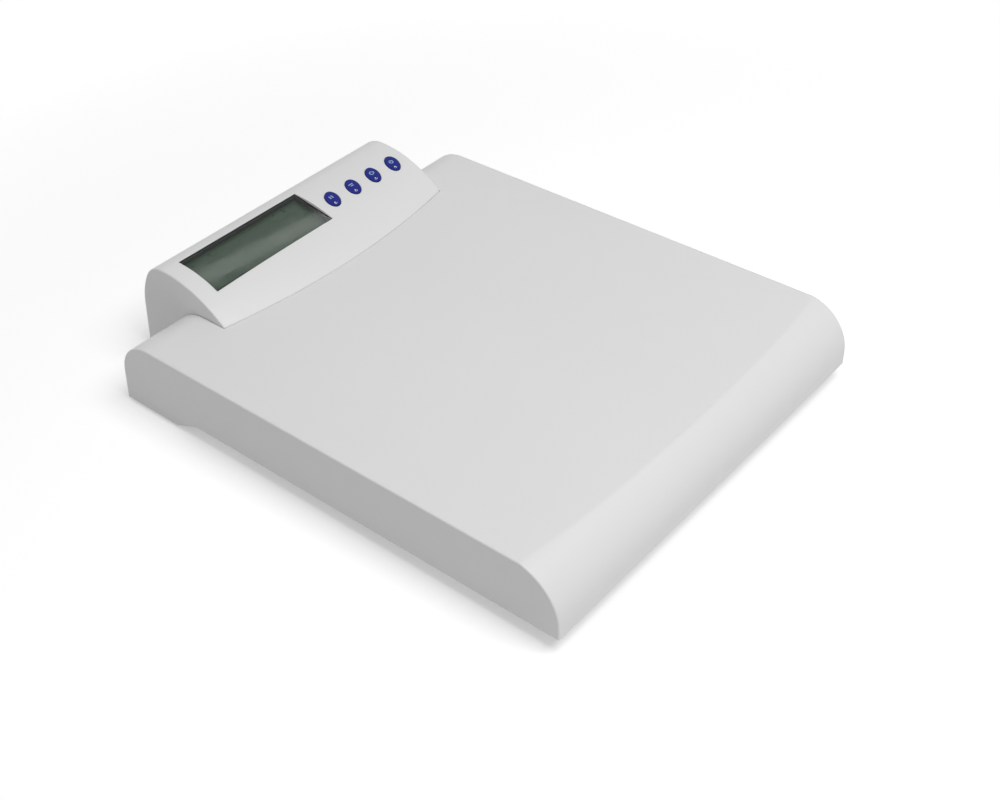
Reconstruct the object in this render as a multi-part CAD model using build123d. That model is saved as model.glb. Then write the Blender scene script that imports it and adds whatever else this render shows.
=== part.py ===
from build123d import *
import os
from math import acos, asin, atan2, cos, degrees, radians, sin, sqrt, tan

# Medical floor scale, in millimetres. +Z is up, +X is the reader's right and +Y points to the
# console at the rear. The origin is on the floor, under the middle of the whole outline.

# Overall sizes
PLATFORM_W = 400.0
PLATFORM_D = 472.0
CONSOLE_OVERHANG = 44.5
DECK_Z = 70.0
CREST_Z = 98.4
LEG_Z = 3.0
SKIRT_Z = 14.2

# One overrun for every cut, and the clearance of parts that seat in each other
OVERRUN = 1.0
FIT = 0.3
RUNNING_FIT = 0.05
SCREW_PLAY = 0.2

# Platform cover
COVER_WALL = 3.0
NOSE_R = 43.4
NOSE_RISE = 0.8
BROW_R = 20.0
REAR_R = 40.0
REAR_DRAFT = 6.5
LEG_D = 64.0
RAMP_ANGLE = 22.4
RAMP_R = 32.0
COVER_EDGE_R = 1.4
DISH_SAG = 3.4
DISH_MARGIN = 8.0
RIB_DEPTH = 8.5
RIB_T = 2.0
RIB_PITCH = 44.0
RIB_FRONT_SETBACK = 58.0
NOTCH_FLANGE_H = 10.0
NOTCH_FLANGE_T = 2.5
SEAM = 0.4
BOSS_R = 5.0
BOSS_COLUMN = 2
SCREW_R = 1.7
SCREW_HEAD_R = 3.4
SCREW_HEAD_H = 2.2
SCREW_REACH = 5.0

# Steel frame
DECK_PLATE_T = 2.0
DECK_PLATE_SIDE_GAP = 14.0
DECK_PLATE_FRONT_SETBACK = 42.0
DECK_PLATE_REAR_GAP = 6.0
DECK_PLATE_CORNER_R = 18.0
RAIL_W = 30.0
RAIL_H = 16.0
RAIL_WALL = 2.0
RAIL_SIDE_SETBACK = 40.0
RAIL_FRONT_SETBACK = 58.0
RAIL_REAR_SETBACK = 24.0
CROSSBAR_W = 30.0
CROSSBAR_FRONT_SETBACK = 96.0

# Load cells
CELL_L = 110.0
CELL_W = 28.0
CELL_H = 20.0
CELL_SPACER_T = 3.0
CELL_SPACER_L = 40.0
CELL_FOOT_INSET = 13.0
CELL_BOLT_INSET = 10.0
CELL_BOLT_PITCH = 20.0
CELL_BOLT_R = 3.0
CELL_BOLT_HEAD_R = 5.0
CELL_BOLT_HEAD_H = 6.0
CELL_BORE_R = 6.5
CELL_BORE_PITCH = 22.0
CELL_SLOT_H = 4.0
GAUGE_COVER_L = 26.0
GAUGE_COVER_T = 1.2

# Levelling feet
FRONT_FOOT_SETBACK = 66.0
REAR_FOOT_SETBACK = 41.5
STEM_R = 5.0
STEM_BALL_R = 6.0
STEM_NECK_R = 3.6
STEM_HEX_FLATS = 15.0
STEM_HEX_H = 6.0
STEM_STAND = 1.0
BALL_Z = 7.6
PAD_R = 20.0
PAD_TOP_R = 11.0
PAD_RIM_H = 4.0
PAD_H = 10.6

# Console form
CONSOLE_END_SETBACK = 62.5
CONSOLE_WALL = 2.5
CONSOLE_EDGE_R = 1.4
TOE_RUN = 72.0
TOE_BOW = 14.0
CREST_R = 28.0
CREST_TURN = 58.0
BACK_R = 85.0
BACK_DRAFT = 6.5
BASE_Z = 5.5
BASE_T = 4.0
POST_R = 4.5
POST_H = 16.0
POST_SINK = 1.0
POST_FRONT_INSET = 12.0
POST_REAR_INSET = 12.0
CONSOLE_SCREW_L = 14.0

# Console brackets
BRACKET_T = 2.0
BRACKET_L = 50.0
BRACKET_DROP = 20.0
BRACKET_Y_SETBACK = 48.0
BRACKET_SCREW_PITCH = 28.0
BRACKET_SCREW_L = 6.0

# Display window and what lies behind it
WINDOW_END_GAP = 17.9
WINDOW_LOW_RUN = 45.9
WINDOW_HIGH_RUN = 0.5
WINDOW_SET = 0.3
WINDOW_RIM = 9.0
LENS_T = 1.6
LENS_PLAY = 0.15
BEZEL_LAP = 3.0
BEZEL_LEDGE = 1.6
BEZEL_T = 4.0
LCD_T = 2.8
LCD_MARGIN = 1.4
BACKLIGHT_T = 3.2
DISPLAY_BOARD_T = 1.6
DISPLAY_BOARD_MARGIN = 11.0
DISPLAY_SCREW_INSET = 7.0
DISPLAY_POST_R = 3.6

# Keys
KEY_NAMES = ("hold", "unit", "tare", "power")
KEY_WINDOW_GAP = 18.4
KEY_END_GAP = 18.8
KEY_PITCH = 26.9
KEY_RUN = 29.0
KEY_W = 13.8
KEY_H = 20.6
KEY_LEAN = 21.5
KEY_PROUD = 0.6
KEY_EDGE_R = 0.5
KEY_TRAVEL = 0.6
KEY_FLANGE = 1.2
KEY_FLANGE_T = 1.2
KEY_UNDERCUT = 1.3
KEY_STEM_R = 2.4
KEY_BOARD_DEPTH = 15.0
KEY_BOARD_T = 1.6
KEY_BOARD_MARGIN = 7.0
KEY_BOARD_H = 26.0
SWITCH_W = 6.2
SWITCH_H = 3.4
PLUNGER_R = 1.75
PLUNGER_STAND = 1.4
PLUNGER_DEPTH = 1.2
KEY_POST_R = 3.4

# Battery bay in the console base
CELL_COUNT = 6
BATTERY_R = 7.1
BATTERY_L = 48.0
BATTERY_NUB_R = 2.7
BATTERY_NUB_L = 1.4
BATTERY_PITCH = 15.4
BAY_END_GAP = 28.3
BAY_FRONT_GAP = 22.0
BAY_WALL = 2.0
BAY_ROOF_T = 1.6
BAY_CONTACT_ROOM = 3.6
CONTACT_T = 0.5
CONTACT_W = 10.0
CONTACT_TIP_R = 1.5
DOOR_LAP = 3.0
DOOR_REAR_SET = 1.0
DOOR_T = 2.2
DOOR_TONGUE = 2.0
DOOR_TONGUE_T = 1.2
DOOR_GRIP_RIBS = 5
DOOR_GRIP_PITCH = 3.2
DOOR_GRIP_W = 44.0
DOOR_GRIP_DEPTH = 0.5
DOOR_GRIP_T = 1.2

# Main board and power inlet
BOARD_BAY_GAP = 22.8
BOARD_END_GAP = 15.5
BOARD_D = 68.0
BOARD_T = 1.6
BOARD_STAND = 10.0
BOARD_FRONT_GAP = 20.0
BOARD_POST_R = 3.6
BOARD_POST_INSET = 5.0
CHIP_W_SHARE = 0.125
CHIP_D = 14.0
CHIP_H = 1.8
CAPACITOR_R = 4.0
CAPACITOR_H = 11.0
CONNECTOR_L = 10.0
CONNECTOR_W = 6.0
CONNECTOR_H = 7.0
BUZZER_R = 6.0
BUZZER_H = 5.5
BUZZER_HOLE_R = 1.0
INLET_END_GAP = 41.5
INLET_Z = 26.0
INLET_NOSE_R = 4.9
INLET_SOCKET_R = 3.2
INLET_SOCKET_DEPTH = 9.0
INLET_PIN_R = 1.0
INLET_PIN_SET = 1.5
INLET_BODY_W = 12.0
INLET_BODY_L = 12.0
INLET_FACE_SET = 0.6
INLET_COLLAR_T = 3.0
INLET_SEAT_SETBACK = 10.0

# Places worked out from the sizes above
OVERALL_D = PLATFORM_D + CONSOLE_OVERHANG
FRONT_Y = -OVERALL_D / 2
REAR_Y = FRONT_Y + PLATFORM_D
BACK_Y = REAR_Y + CONSOLE_OVERHANG
HALF_W = PLATFORM_W / 2
HALF_CONSOLE = HALF_W - CONSOLE_END_SETBACK
RAIL_X = HALF_W - RAIL_SIDE_SETBACK
KEY_LAST_X = HALF_CONSOLE - KEY_END_GAP
KEY_FIRST_X = KEY_LAST_X - (len(KEY_NAMES) - 1) * KEY_PITCH
WINDOW_W = KEY_FIRST_X - KEY_WINDOW_GAP + HALF_CONSOLE - WINDOW_END_GAP
WINDOW_X = WINDOW_END_GAP + WINDOW_W / 2 - HALF_CONSOLE
BAY_W = CELL_COUNT * BATTERY_PITCH
BAY_X = BAY_END_GAP + BAY_WALL + BAY_W / 2 - HALF_CONSOLE
BOARD_LEFT = BAY_X + BAY_W / 2 + BAY_WALL + BOARD_BAY_GAP
BOARD_RIGHT = HALF_CONSOLE - BOARD_END_GAP
BOARD_W = BOARD_RIGHT - BOARD_LEFT
BOARD_X = (BOARD_LEFT + BOARD_RIGHT) / 2
INLET_X = HALF_CONSOLE - INLET_END_GAP
NOSE_Y = FRONT_Y + NOSE_R
NOSE_Z = DECK_Z + NOSE_RISE - NOSE_R
RIB_Z = DECK_Z - RIB_DEPTH
RAIL_TOP = RIB_Z - DECK_PLATE_T
RAIL_LOW = RAIL_TOP - RAIL_H
CELL_TOP = RAIL_LOW - CELL_SPACER_T
CELL_LOW = CELL_TOP - CELL_H
RIM_Z = BASE_Z + BASE_T

# Directions in the side view, in degrees from +Y
UP = 90.0
FORWARD = 180.0


def block(x0, x1, y0, y1, z0, z1):
    """A box between two opposite corners."""
    centre = Pos((x0 + x1) / 2, (y0 + y1) / 2, (z0 + z1) / 2)
    return centre * Box(x1 - x0, y1 - y0, z1 - z0)


def rod(radius, x, y, z0, z1):
    """An upright cylinder between two heights."""
    return Pos(x, y, (z0 + z1) / 2) * Cylinder(radius, z1 - z0)


def arc(centre_y, centre_z, radius, start, end):
    """An arc in the side view, from one direction to another, in degrees from +Y."""
    def at(angle):
        return (centre_y + radius * cos(radians(angle)), centre_z + radius * sin(radians(angle)))
    return ThreePointArc(at(start), at((start + end) / 2), at(end))


def joined(solids):
    """Several solids fused into one part."""
    total = Part() + list(solids)
    return total


def save(name, shape):
    """Write one sub-part to its own file."""
    export_step(shape, f"parts/{name}.step")


# Platform cover

def platform_skin(inset):
    """Side view of the skin from the nose over the deck to the rear wall, drawn inside the outside."""
    brow_z = DECK_Z - BROW_R
    brow_run = sqrt((NOSE_R - BROW_R)**2 - (brow_z - NOSE_Z)**2)
    turn = UP + degrees(atan2(brow_run, brow_z - NOSE_Z))
    nose = arc(NOSE_Y, NOSE_Z, NOSE_R - inset, FORWARD, turn)
    brow = arc(NOSE_Y - brow_run, brow_z, BROW_R - inset, turn, UP)
    round_z = DECK_Z - REAR_R
    wall_rise = round_z + REAR_R * sin(radians(REAR_DRAFT)) - LEG_Z
    round_y = REAR_Y - wall_rise * tan(radians(REAR_DRAFT)) - REAR_R * cos(radians(REAR_DRAFT))
    rear = arc(round_y, round_z, REAR_R - inset, UP, REAR_DRAFT)
    return [nose, brow, Line(brow @ 1, rear @ 0), rear]


def wall_foot(rear, z):
    """Where the drafted wall under the rear rounding reaches a height."""
    top = rear @ 1
    return (top.X + (top.Y - z) * tan(radians(REAR_DRAFT)), z)


def platform_outer():
    """The platform's solid form with its raised skirt and deeper rear legs."""
    skin = platform_skin(0)
    foot = wall_foot(skin[-1], LEG_Z)
    leg_front = (REAR_Y - LEG_D, LEG_Z)
    ramp = (REAR_Y - LEG_D - (SKIRT_Z - LEG_Z) / tan(radians(RAMP_ANGLE)), SKIRT_Z)
    corner = (FRONT_Y, SKIRT_Z)
    skirt = FilletPolyline(leg_front, ramp, corner, radius=RAMP_R)
    ends = [Line(skin[-1] @ 1, foot), Line(foot, leg_front), Line(corner, skin[0] @ 0)]
    body = extrude(Plane.YZ * make_face(skin + ends + list(skirt.edges())), amount=HALF_W, both=True)
    sides = [e for e in body.edges() if abs(abs(e.center().X) - HALF_W) < FIT]
    upper = [e for e in sides if e.bounding_box().max.Z > SKIRT_Z + FIT]
    return fillet(upper, COVER_EDGE_R)


def platform_inner(low_z):
    """The hollow a wall's thickness inside the platform, open below."""
    skin = platform_skin(COVER_WALL)
    foot = wall_foot(skin[-1], low_z)
    front = (FRONT_Y + COVER_WALL, low_z)
    ends = [Line(skin[-1] @ 1, foot), Line(foot, front), Line(front, skin[0] @ 0)]
    return extrude(Plane.YZ * make_face(skin + ends), amount=HALF_W - COVER_WALL, both=True)


def dish(drop):
    """A shallow trough that leaves the front middle of the deck lower than its sides."""
    half = HALF_W - DISH_MARGIN
    radius = (half**2 + DISH_SAG**2) / (2 * DISH_SAG)
    front_y = NOSE_Y
    rear_y = toe_y(1)
    slope = atan2(DISH_SAG, rear_y - front_y)
    length = 2 * (rear_y - front_y)
    middle_z = DECK_Z - DISH_SAG - drop + radius / cos(slope)
    return Pos(0, front_y, middle_z) * Rot(UP + degrees(slope), 0, 0) * Cylinder(radius, length)


def rib_rows():
    """Places of the ribs that run across the platform, from the first to the console."""
    front = FRONT_Y + RIB_FRONT_SETBACK
    count = int((toe_y(1) - front) / RIB_PITCH) + 1
    return [front + i * RIB_PITCH for i in range(count)]


def rib_columns():
    """Places of the ribs that run along the platform, even about its middle."""
    half_count = int((HALF_W - COVER_WALL) / RIB_PITCH)
    return [i * RIB_PITCH for i in range(-half_count, half_count + 1)]


def cover_ribs():
    """The grid of ribs under the deck, with their lower edges in one plane, and the screw bosses."""
    front = rib_rows()[0] - RIB_PITCH / 2
    half = RIB_T / 2
    ribs = [block(x - half, x + half, front, REAR_Y, RIB_Z, DECK_Z) for x in rib_columns()]
    ribs += [block(-HALF_W, HALF_W, y - half, y + half, RIB_Z, DECK_Z) for y in rib_rows()]
    ribs += [rod(BOSS_R, x, y, RIB_Z, DECK_Z) for x, y in boss_places()]
    return joined(ribs)


def boss_places():
    """Screw bosses of the cover, on two of the ribs: at the front and between the crossbars."""
    bars = crossbar_rows()
    middles = [(bars["front"] + bars["middle"]) / 2, (bars["middle"] + bars["rear"]) / 2]
    columns = [side * BOSS_COLUMN * RIB_PITCH for side in (-1, 1)]
    return [(x, y) for x in columns for y in [rib_rows()[0]] + middles]


def platform_cover():
    """The moulded cover: an open shell with a notch for the console."""
    below = LEG_Z - OVERRUN
    cavity = platform_inner(below)
    cavity -= dish(COVER_WALL)
    cavity -= cover_ribs()
    cavity -= console_prism(SEAM + NOTCH_FLANGE_T, DECK_Z - NOTCH_FLANGE_H, CREST_Z)
    shell = platform_outer() - dish(0)
    shell -= cavity
    shell -= console_prism(SEAM, below, CREST_Z)
    for x, y in boss_places():
        shell -= rod(SCREW_R, x, y, RIB_Z - OVERRUN, RIB_Z + SCREW_REACH)
    return shell


# Console form

def toe_y(bow_share):
    """Where the console's face meets the deck, with the share of the bow reached there."""
    return crest_y() - TOE_RUN - TOE_BOW * bow_share


def crest_y():
    """The console's highest line, set from its rear foot."""
    end = UP - BACK_DRAFT
    turned = CREST_R * sin(radians(CREST_TURN))
    turned += BACK_R * (sin(radians(end)) - sin(radians(CREST_TURN)))
    line_drop = back_line_top() - BASE_Z
    return BACK_Y - line_drop * tan(radians(BACK_DRAFT)) - turned


def back_line_top():
    """Height where the straight part of the console's back begins."""
    end = UP - BACK_DRAFT
    drop = CREST_R * (1 - cos(radians(CREST_TURN)))
    drop += BACK_R * (cos(radians(CREST_TURN)) - cos(radians(end)))
    return CREST_Z - drop


def face_radius(bow_share):
    """Radius of the console's face, level at the crest and down to the deck at the toe."""
    run = TOE_RUN + TOE_BOW * bow_share
    rise = CREST_Z - DECK_Z
    return (run**2 + rise**2) / (2 * rise)


def console_section(bow_share, inset, low_z):
    """Side view of the console, drawn a wall's thickness inside its skin."""
    radius = face_radius(bow_share) - inset
    face_z = CREST_Z - face_radius(bow_share)
    front_y = toe_y(bow_share) + inset
    toe = degrees(acos((front_y - crest_y()) / radius))
    face = arc(crest_y(), face_z, radius, toe, UP)
    crest = arc(crest_y(), CREST_Z - CREST_R, CREST_R - inset, UP, UP - CREST_TURN)
    turn = radians(UP - CREST_TURN)
    back_y = crest_y() + (CREST_R - BACK_R) * cos(turn)
    back_z = CREST_Z - CREST_R + (CREST_R - BACK_R) * sin(turn)
    back = arc(back_y, back_z, BACK_R - inset, UP - CREST_TURN, BACK_DRAFT)
    drop = (back @ 1).Y - low_z
    foot = (back @ 1).X + drop * tan(radians(BACK_DRAFT))
    wall = Line((front_y, low_z), face @ 0)
    rear = Line(back @ 1, (foot, low_z))
    return make_face([wall, face, crest, back, rear, Line(rear @ 1, wall @ 0)])


def console_loft(inset, low_z):
    """The console's form, with its face bowed forward in the middle."""
    half = HALF_CONSOLE - inset
    sections = [(-half, 0), (0, 1), (half, 0)]
    faces = [Plane.YZ.offset(x) * console_section(share, inset, low_z) for x, share in sections]
    return loft(faces)


def console_prism(gap, low_z, high_z):
    """An upright prism a gap outside the console's plan, open past the platform's rear."""
    half = HALF_CONSOLE + gap
    rear = BACK_Y + gap
    faces = []
    for x, share in ((-half, 0), (0, 1), (half, 0)):
        front = toe_y(share) - gap
        outline = Polyline((front, low_z), (rear, low_z), (rear, high_z), (front, high_z), close=True)
        faces.append(Plane.YZ.offset(x) * make_face(outline))
    return loft(faces)


def face_point(x, run):
    """A point of the console's face, by its distance from the middle and its run from the crest."""
    share = 1 - (x / HALF_CONSOLE)**2
    along = run / (TOE_RUN + TOE_BOW * share)

    def place(part_share):
        radius = face_radius(part_share)
        full = asin((TOE_RUN + TOE_BOW * part_share) / radius)
        return radius * sin(along * full), radius * (1 - cos(along * full))

    end_run, end_drop = place(0)
    middle_run, middle_drop = place(1)
    y = crest_y() - end_run - (middle_run - end_run) * share
    z = CREST_Z - end_drop - (middle_drop - end_drop) * share
    return Vector(x, y, z)


def sloped_plane(x, low_run, high_run):
    """A plane through two points of the face, with its own Y axis up the slope."""
    low = face_point(x, low_run)
    high = face_point(x, high_run)
    tilt = atan2(high.Z - low.Z, high.Y - low.Y)
    middle = (low + high) / 2
    return Plane(origin=middle, x_dir=(1, 0, 0), z_dir=(0, -sin(tilt), cos(tilt)))


def window_plane():
    """The plane of the display lens, just under the face at the window's low and high edges."""
    plane = sloped_plane(WINDOW_X, WINDOW_LOW_RUN, WINDOW_HIGH_RUN)
    return plane.offset(-WINDOW_SET)


def window_h():
    """Height of the window, measured up the slope."""
    low = face_point(WINDOW_X, WINDOW_LOW_RUN)
    return (face_point(WINDOW_X, WINDOW_HIGH_RUN) - low).length


def key_plane():
    """The plane through the middle of the row of keys."""
    return sloped_plane(key_x(1), KEY_RUN + KEY_H / 2, KEY_RUN - KEY_H / 2)


def key_x(index):
    """Place of one key along the console."""
    return KEY_FIRST_X + index * KEY_PITCH


def key_oval(margin):
    """The leaning oval outline of a key, widened by a margin."""
    return Rot(0, 0, -KEY_LEAN) * Ellipse(KEY_W / 2 + margin, KEY_H / 2 + margin)


def key_surface(index):
    """Height of the face over the key plane at one key."""
    return key_plane().to_local_coords(face_point(key_x(index), KEY_RUN)).Z


# Console housing

def post_places():
    """Screw posts at the corners of the console."""
    front = toe_y(0) + POST_FRONT_INSET
    rear = crest_y() + POST_REAR_INSET
    inset = CONSOLE_WALL + POST_R - POST_SINK
    columns = [side * (HALF_CONSOLE - inset) for side in (-1, 1)]
    return [(x, y) for x in columns for y in (front, rear)]


def display_post_places():
    """Screw posts beside the display, in the window's own plane."""
    half_w = WINDOW_W / 2 + DISPLAY_SCREW_INSET
    half_h = window_h() / 2 + DISPLAY_SCREW_INSET
    return [(x, y) for x in (-half_w, half_w) for y in (-half_h, half_h)]


def key_post_places():
    """Screw posts between the outer pairs of keys, in the keys' own plane."""
    row = [key_x(i) - key_x(1) for i in range(len(KEY_NAMES))]
    return [((row[0] + row[1]) / 2, 0), ((row[-2] + row[-1]) / 2, 0)]


def display_depth():
    """Depth of the display board's upper side under the lens seat."""
    return LENS_T + BEZEL_T + LCD_T + BACKLIGHT_T


def console_housing():
    """The moulded console: an open shell with its window, key holes and screw posts."""
    outer = console_loft(0, RIM_Z)
    sides = [e for e in outer.edges() if abs(abs(e.center().X) - HALF_CONSOLE) < FIT]
    upper = [e for e in sides if e.center().Z > RIM_Z + FIT]
    outer = fillet(upper, CONSOLE_EDGE_R)
    inner = console_loft(CONSOLE_WALL, RIM_Z - OVERRUN)
    solid = window_rim() + display_posts() + key_posts() + inlet_collar()
    solid += joined(rod(POST_R, x, y, RIM_Z - OVERRUN, RIM_Z + POST_H) for x, y in post_places())
    shell = outer - (inner - solid)
    shell -= window_hollow()
    for i in range(len(KEY_NAMES)):
        hole = key_plane() * Pos(key_x(i) - key_x(1), 0) * key_oval(FIT)
        shell -= extrude(hole, amount=KEY_UNDERCUT + CONSOLE_WALL + OVERRUN, both=True)
    shell -= inlet_bore(INLET_NOSE_R + FIT)
    for side in (-1, 1):
        for y in bracket_screw_rows():
            shell -= bracket_bore(side, y, SCREW_R + SCREW_PLAY)
    for x, y in post_places():
        shell -= rod(SCREW_R, x, y, RIM_Z - OVERRUN, RIM_Z + CONSOLE_SCREW_L)
    for x, y in display_post_places():
        shell -= window_plane() * Pos(x, y, -display_depth()) * Cylinder(SCREW_R, 2 * SCREW_REACH)
    for x, y in key_post_places():
        shell -= key_plane() * Pos(x, y, -KEY_BOARD_DEPTH) * Cylinder(SCREW_R, 2 * SCREW_REACH)
    return shell


def window_rim():
    """The thickened frame round the window, flat below, that the display bezel seats on."""
    w = WINDOW_W + 2 * WINDOW_RIM
    h = window_h() + 2 * WINDOW_RIM
    return window_plane() * Pos(0, 0, WINDOW_RIM / 2 - LENS_T) * Box(w, h, WINDOW_RIM)


def window_hollow():
    """The window's opening, and the wider pocket for the bezel under it."""
    opening = Box(WINDOW_W, window_h(), 2 * WINDOW_RIM)
    deep = BEZEL_T + LCD_T
    w = WINDOW_W + 2 * (BEZEL_LAP + LENS_PLAY)
    h = window_h() + 2 * (BEZEL_LAP + LENS_PLAY)
    pocket = Pos(0, 0, -LENS_T - deep / 2) * Box(w, h, deep)
    return window_plane() * (opening + pocket)


def display_posts():
    """Posts that the display board is screwed to."""
    deep = display_depth()
    post = Pos(0, 0, -deep / 2) * Cylinder(DISPLAY_POST_R, deep)
    return joined(window_plane() * Pos(x, y) * post for x, y in display_post_places())


def key_posts():
    """Posts that the key board is screwed to."""
    post = Pos(0, 0, -KEY_BOARD_DEPTH / 2) * Cylinder(KEY_POST_R, KEY_BOARD_DEPTH)
    return joined(key_plane() * Pos(x, y) * post for x, y in key_post_places())


def inlet_collar():
    """A flat seat for the power inlet inside the drafted rear wall."""
    seat_y = inlet_seat_y()
    collar = Cylinder(INLET_NOSE_R + INLET_COLLAR_T, BACK_Y - seat_y)
    return Pos(INLET_X, (BACK_Y + seat_y) / 2, INLET_Z) * Rot(UP, 0, 0) * collar


def inlet_seat_y():
    """Where the power inlet's body seats on its collar."""
    return BACK_Y - INLET_SEAT_SETBACK


def inlet_face_y():
    """The nose of the power inlet, just inside the drafted wall at its upper edge."""
    wall_y = BACK_Y - (INLET_Z + INLET_NOSE_R - BASE_Z) * tan(radians(BACK_DRAFT))
    return wall_y - INLET_FACE_SET


def inlet_bore(radius):
    """A level bore through the console's rear wall and its collar."""
    reach = INLET_SEAT_SETBACK + OVERRUN
    return Pos(INLET_X, BACK_Y, INLET_Z) * Rot(UP, 0, 0) * Cylinder(radius, 2 * reach)


# Steel frame

def rect_tube(length):
    """A rectangular steel tube along Y, centred on the origin."""
    tube = Box(RAIL_W, length, RAIL_H)
    tube -= Box(RAIL_W - 2 * RAIL_WALL, length + 2 * OVERRUN, RAIL_H - 2 * RAIL_WALL)
    return tube


def rail(side):
    """One rail along the platform's side."""
    front = FRONT_Y + RAIL_FRONT_SETBACK
    rear = REAR_Y - RAIL_REAR_SETBACK
    tube = Pos(side * RAIL_X, (front + rear) / 2, (RAIL_TOP + RAIL_LOW) / 2) * rect_tube(rear - front)
    bore_r = CELL_BOLT_R + SCREW_PLAY
    bore_top = RAIL_LOW + RAIL_WALL + OVERRUN
    for foot_y, inward in foot_rows():
        for reach in cell_bolt_reaches():
            tube -= rod(bore_r, side * RAIL_X, foot_y + inward * reach, RAIL_LOW - OVERRUN, bore_top)
    return tube


def crossbar_rows():
    """Centres of the three crossbars, front to rear."""
    front = FRONT_Y + CROSSBAR_FRONT_SETBACK
    rear = toe_y(1) - DECK_PLATE_REAR_GAP - CROSSBAR_W / 2
    return {"front": front, "middle": (front + rear) / 2, "rear": rear}


def crossbar(y):
    """One tube between the rails."""
    length = 2 * (RAIL_X - RAIL_W / 2)
    return Pos(0, y, (RAIL_TOP + RAIL_LOW) / 2) * Rot(0, 0, UP) * rect_tube(length)


def deck_plate():
    """The steel sheet that carries the cover's ribs."""
    front = FRONT_Y + DECK_PLATE_FRONT_SETBACK
    rear = toe_y(1) - DECK_PLATE_REAR_GAP
    half = HALF_W - DECK_PLATE_SIDE_GAP
    plate = block(-half, half, front, rear, RAIL_TOP, RIB_Z)
    plate = fillet(plate.edges().filter_by(Axis.Z), DECK_PLATE_CORNER_R)
    for x, y in boss_places():
        plate -= rod(SCREW_R + SCREW_PLAY, x, y, RAIL_TOP - OVERRUN, RIB_Z + OVERRUN)
    return plate


def screw(length):
    """A pan-head screw that points down, with the underside of its head at the origin."""
    return rod(SCREW_R - RUNNING_FIT, 0, 0, -length, 0) + rod(SCREW_HEAD_R, 0, 0, 0, SCREW_HEAD_H)


def cover_screws():
    """Screws up through the deck plate into the cover's bosses."""
    upward = Rot(2 * UP, 0, 0) * screw(DECK_PLATE_T + SCREW_REACH - FIT)
    return Compound(children=[Pos(x, y, RAIL_TOP) * upward for x, y in boss_places()])


# Load cells and feet

def foot_rows():
    """Rows of feet, each with the direction in which its load cells reach inward."""
    return ((FRONT_Y + FRONT_FOOT_SETBACK, 1), (REAR_Y - REAR_FOOT_SETBACK, -1))


def feet():
    """Each foot's name, place and inward direction."""
    places = []
    for (y, inward), row in zip(foot_rows(), ("front", "rear")):
        for side, hand in ((-1, "left"), (1, "right")):
            places.append((f"{row}_{hand}", side * RAIL_X, y, inward))
    return places


def cell_bolt_reaches():
    """Distances of the two clamping bolts from a foot's axis."""
    last = CELL_L - CELL_FOOT_INSET - CELL_BOLT_INSET
    return (last - CELL_BOLT_PITCH, last)


def gauge_reach():
    """Distance from a foot's axis to the middle of the bored section."""
    return cell_bolt_reaches()[0] / 2


def load_cell(x, y, inward):
    """A bending beam, bored twice across its middle, clamped at one end and tapped at the other."""
    ends = sorted((y - inward * CELL_FOOT_INSET, y + inward * (CELL_L - CELL_FOOT_INSET)))
    half = CELL_W / 2
    beam = block(x - half, x + half, ends[0], ends[1], CELL_LOW, CELL_TOP)
    middle_z = (CELL_LOW + CELL_TOP) / 2
    gauge_y = y + inward * gauge_reach()
    for step in (-1, 1):
        bore = Rot(0, UP, 0) * Cylinder(CELL_BORE_R, CELL_W + 2 * OVERRUN)
        beam -= Pos(x, gauge_y + step * CELL_BORE_PITCH / 2, middle_z) * bore
    beam -= Pos(x, gauge_y, middle_z) * Box(CELL_W + 2 * OVERRUN, CELL_BORE_PITCH, CELL_SLOT_H)
    beam -= rod(STEM_R + RUNNING_FIT, x, y, CELL_LOW - OVERRUN, CELL_TOP + OVERRUN)
    low = CELL_LOW - OVERRUN
    for reach in cell_bolt_reaches():
        bolt_y = y + inward * reach
        beam -= rod(CELL_BOLT_R + SCREW_PLAY, x, bolt_y, low, CELL_TOP + OVERRUN)
        beam -= rod(CELL_BOLT_HEAD_R + SCREW_PLAY, x, bolt_y, low, CELL_LOW + CELL_BOLT_HEAD_H)
    return beam


def cell_spacers():
    """Plates that hold the fixed end of each load cell off its rail."""
    plates = []
    for _, x, y, inward in feet():
        far = y + inward * (CELL_L - CELL_FOOT_INSET)
        ends = sorted((far, far - inward * CELL_SPACER_L))
        half = CELL_W / 2
        plate = block(x - half, x + half, ends[0], ends[1], CELL_TOP, RAIL_LOW)
        for reach in cell_bolt_reaches():
            bolt_y = y + inward * reach
            plate -= rod(CELL_BOLT_R + SCREW_PLAY, x, bolt_y, CELL_TOP - OVERRUN, RAIL_LOW + OVERRUN)
        plates.append(plate)
    return Compound(children=plates)


def cell_bolts():
    """Socket-head bolts that clamp the load cells to the rails, each with its hexagon recess."""
    bolts = []
    for _, x, y, inward in feet():
        for reach in cell_bolt_reaches():
            bolt_y = y + inward * reach
            seat = CELL_LOW + CELL_BOLT_HEAD_H
            bolt = rod(CELL_BOLT_HEAD_R, x, bolt_y, CELL_LOW, seat)
            bolt += rod(CELL_BOLT_R, x, bolt_y, seat, RAIL_LOW + RAIL_WALL + CELL_BOLT_R)
            recess = RegularPolygon(CELL_BOLT_HEAD_R / 2, 6)
            bolt -= extrude(Pos(x, bolt_y, CELL_LOW) * recess, amount=CELL_BOLT_HEAD_H / 2)
            bolts.append(bolt)
    return Compound(children=bolts)


def gauge_covers():
    """Thin sealing plates over the strain gauges, on the upper side of each load cell."""
    width = CELL_W - 2 * GAUGE_COVER_T
    plate = Pos(0, 0, CELL_TOP + GAUGE_COVER_T / 2) * Box(width, GAUGE_COVER_L, GAUGE_COVER_T)
    places = [(x, y + inward * gauge_reach()) for _, x, y, inward in feet()]
    return Compound(children=[Pos(x, y) * plate for x, y in places])


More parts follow.
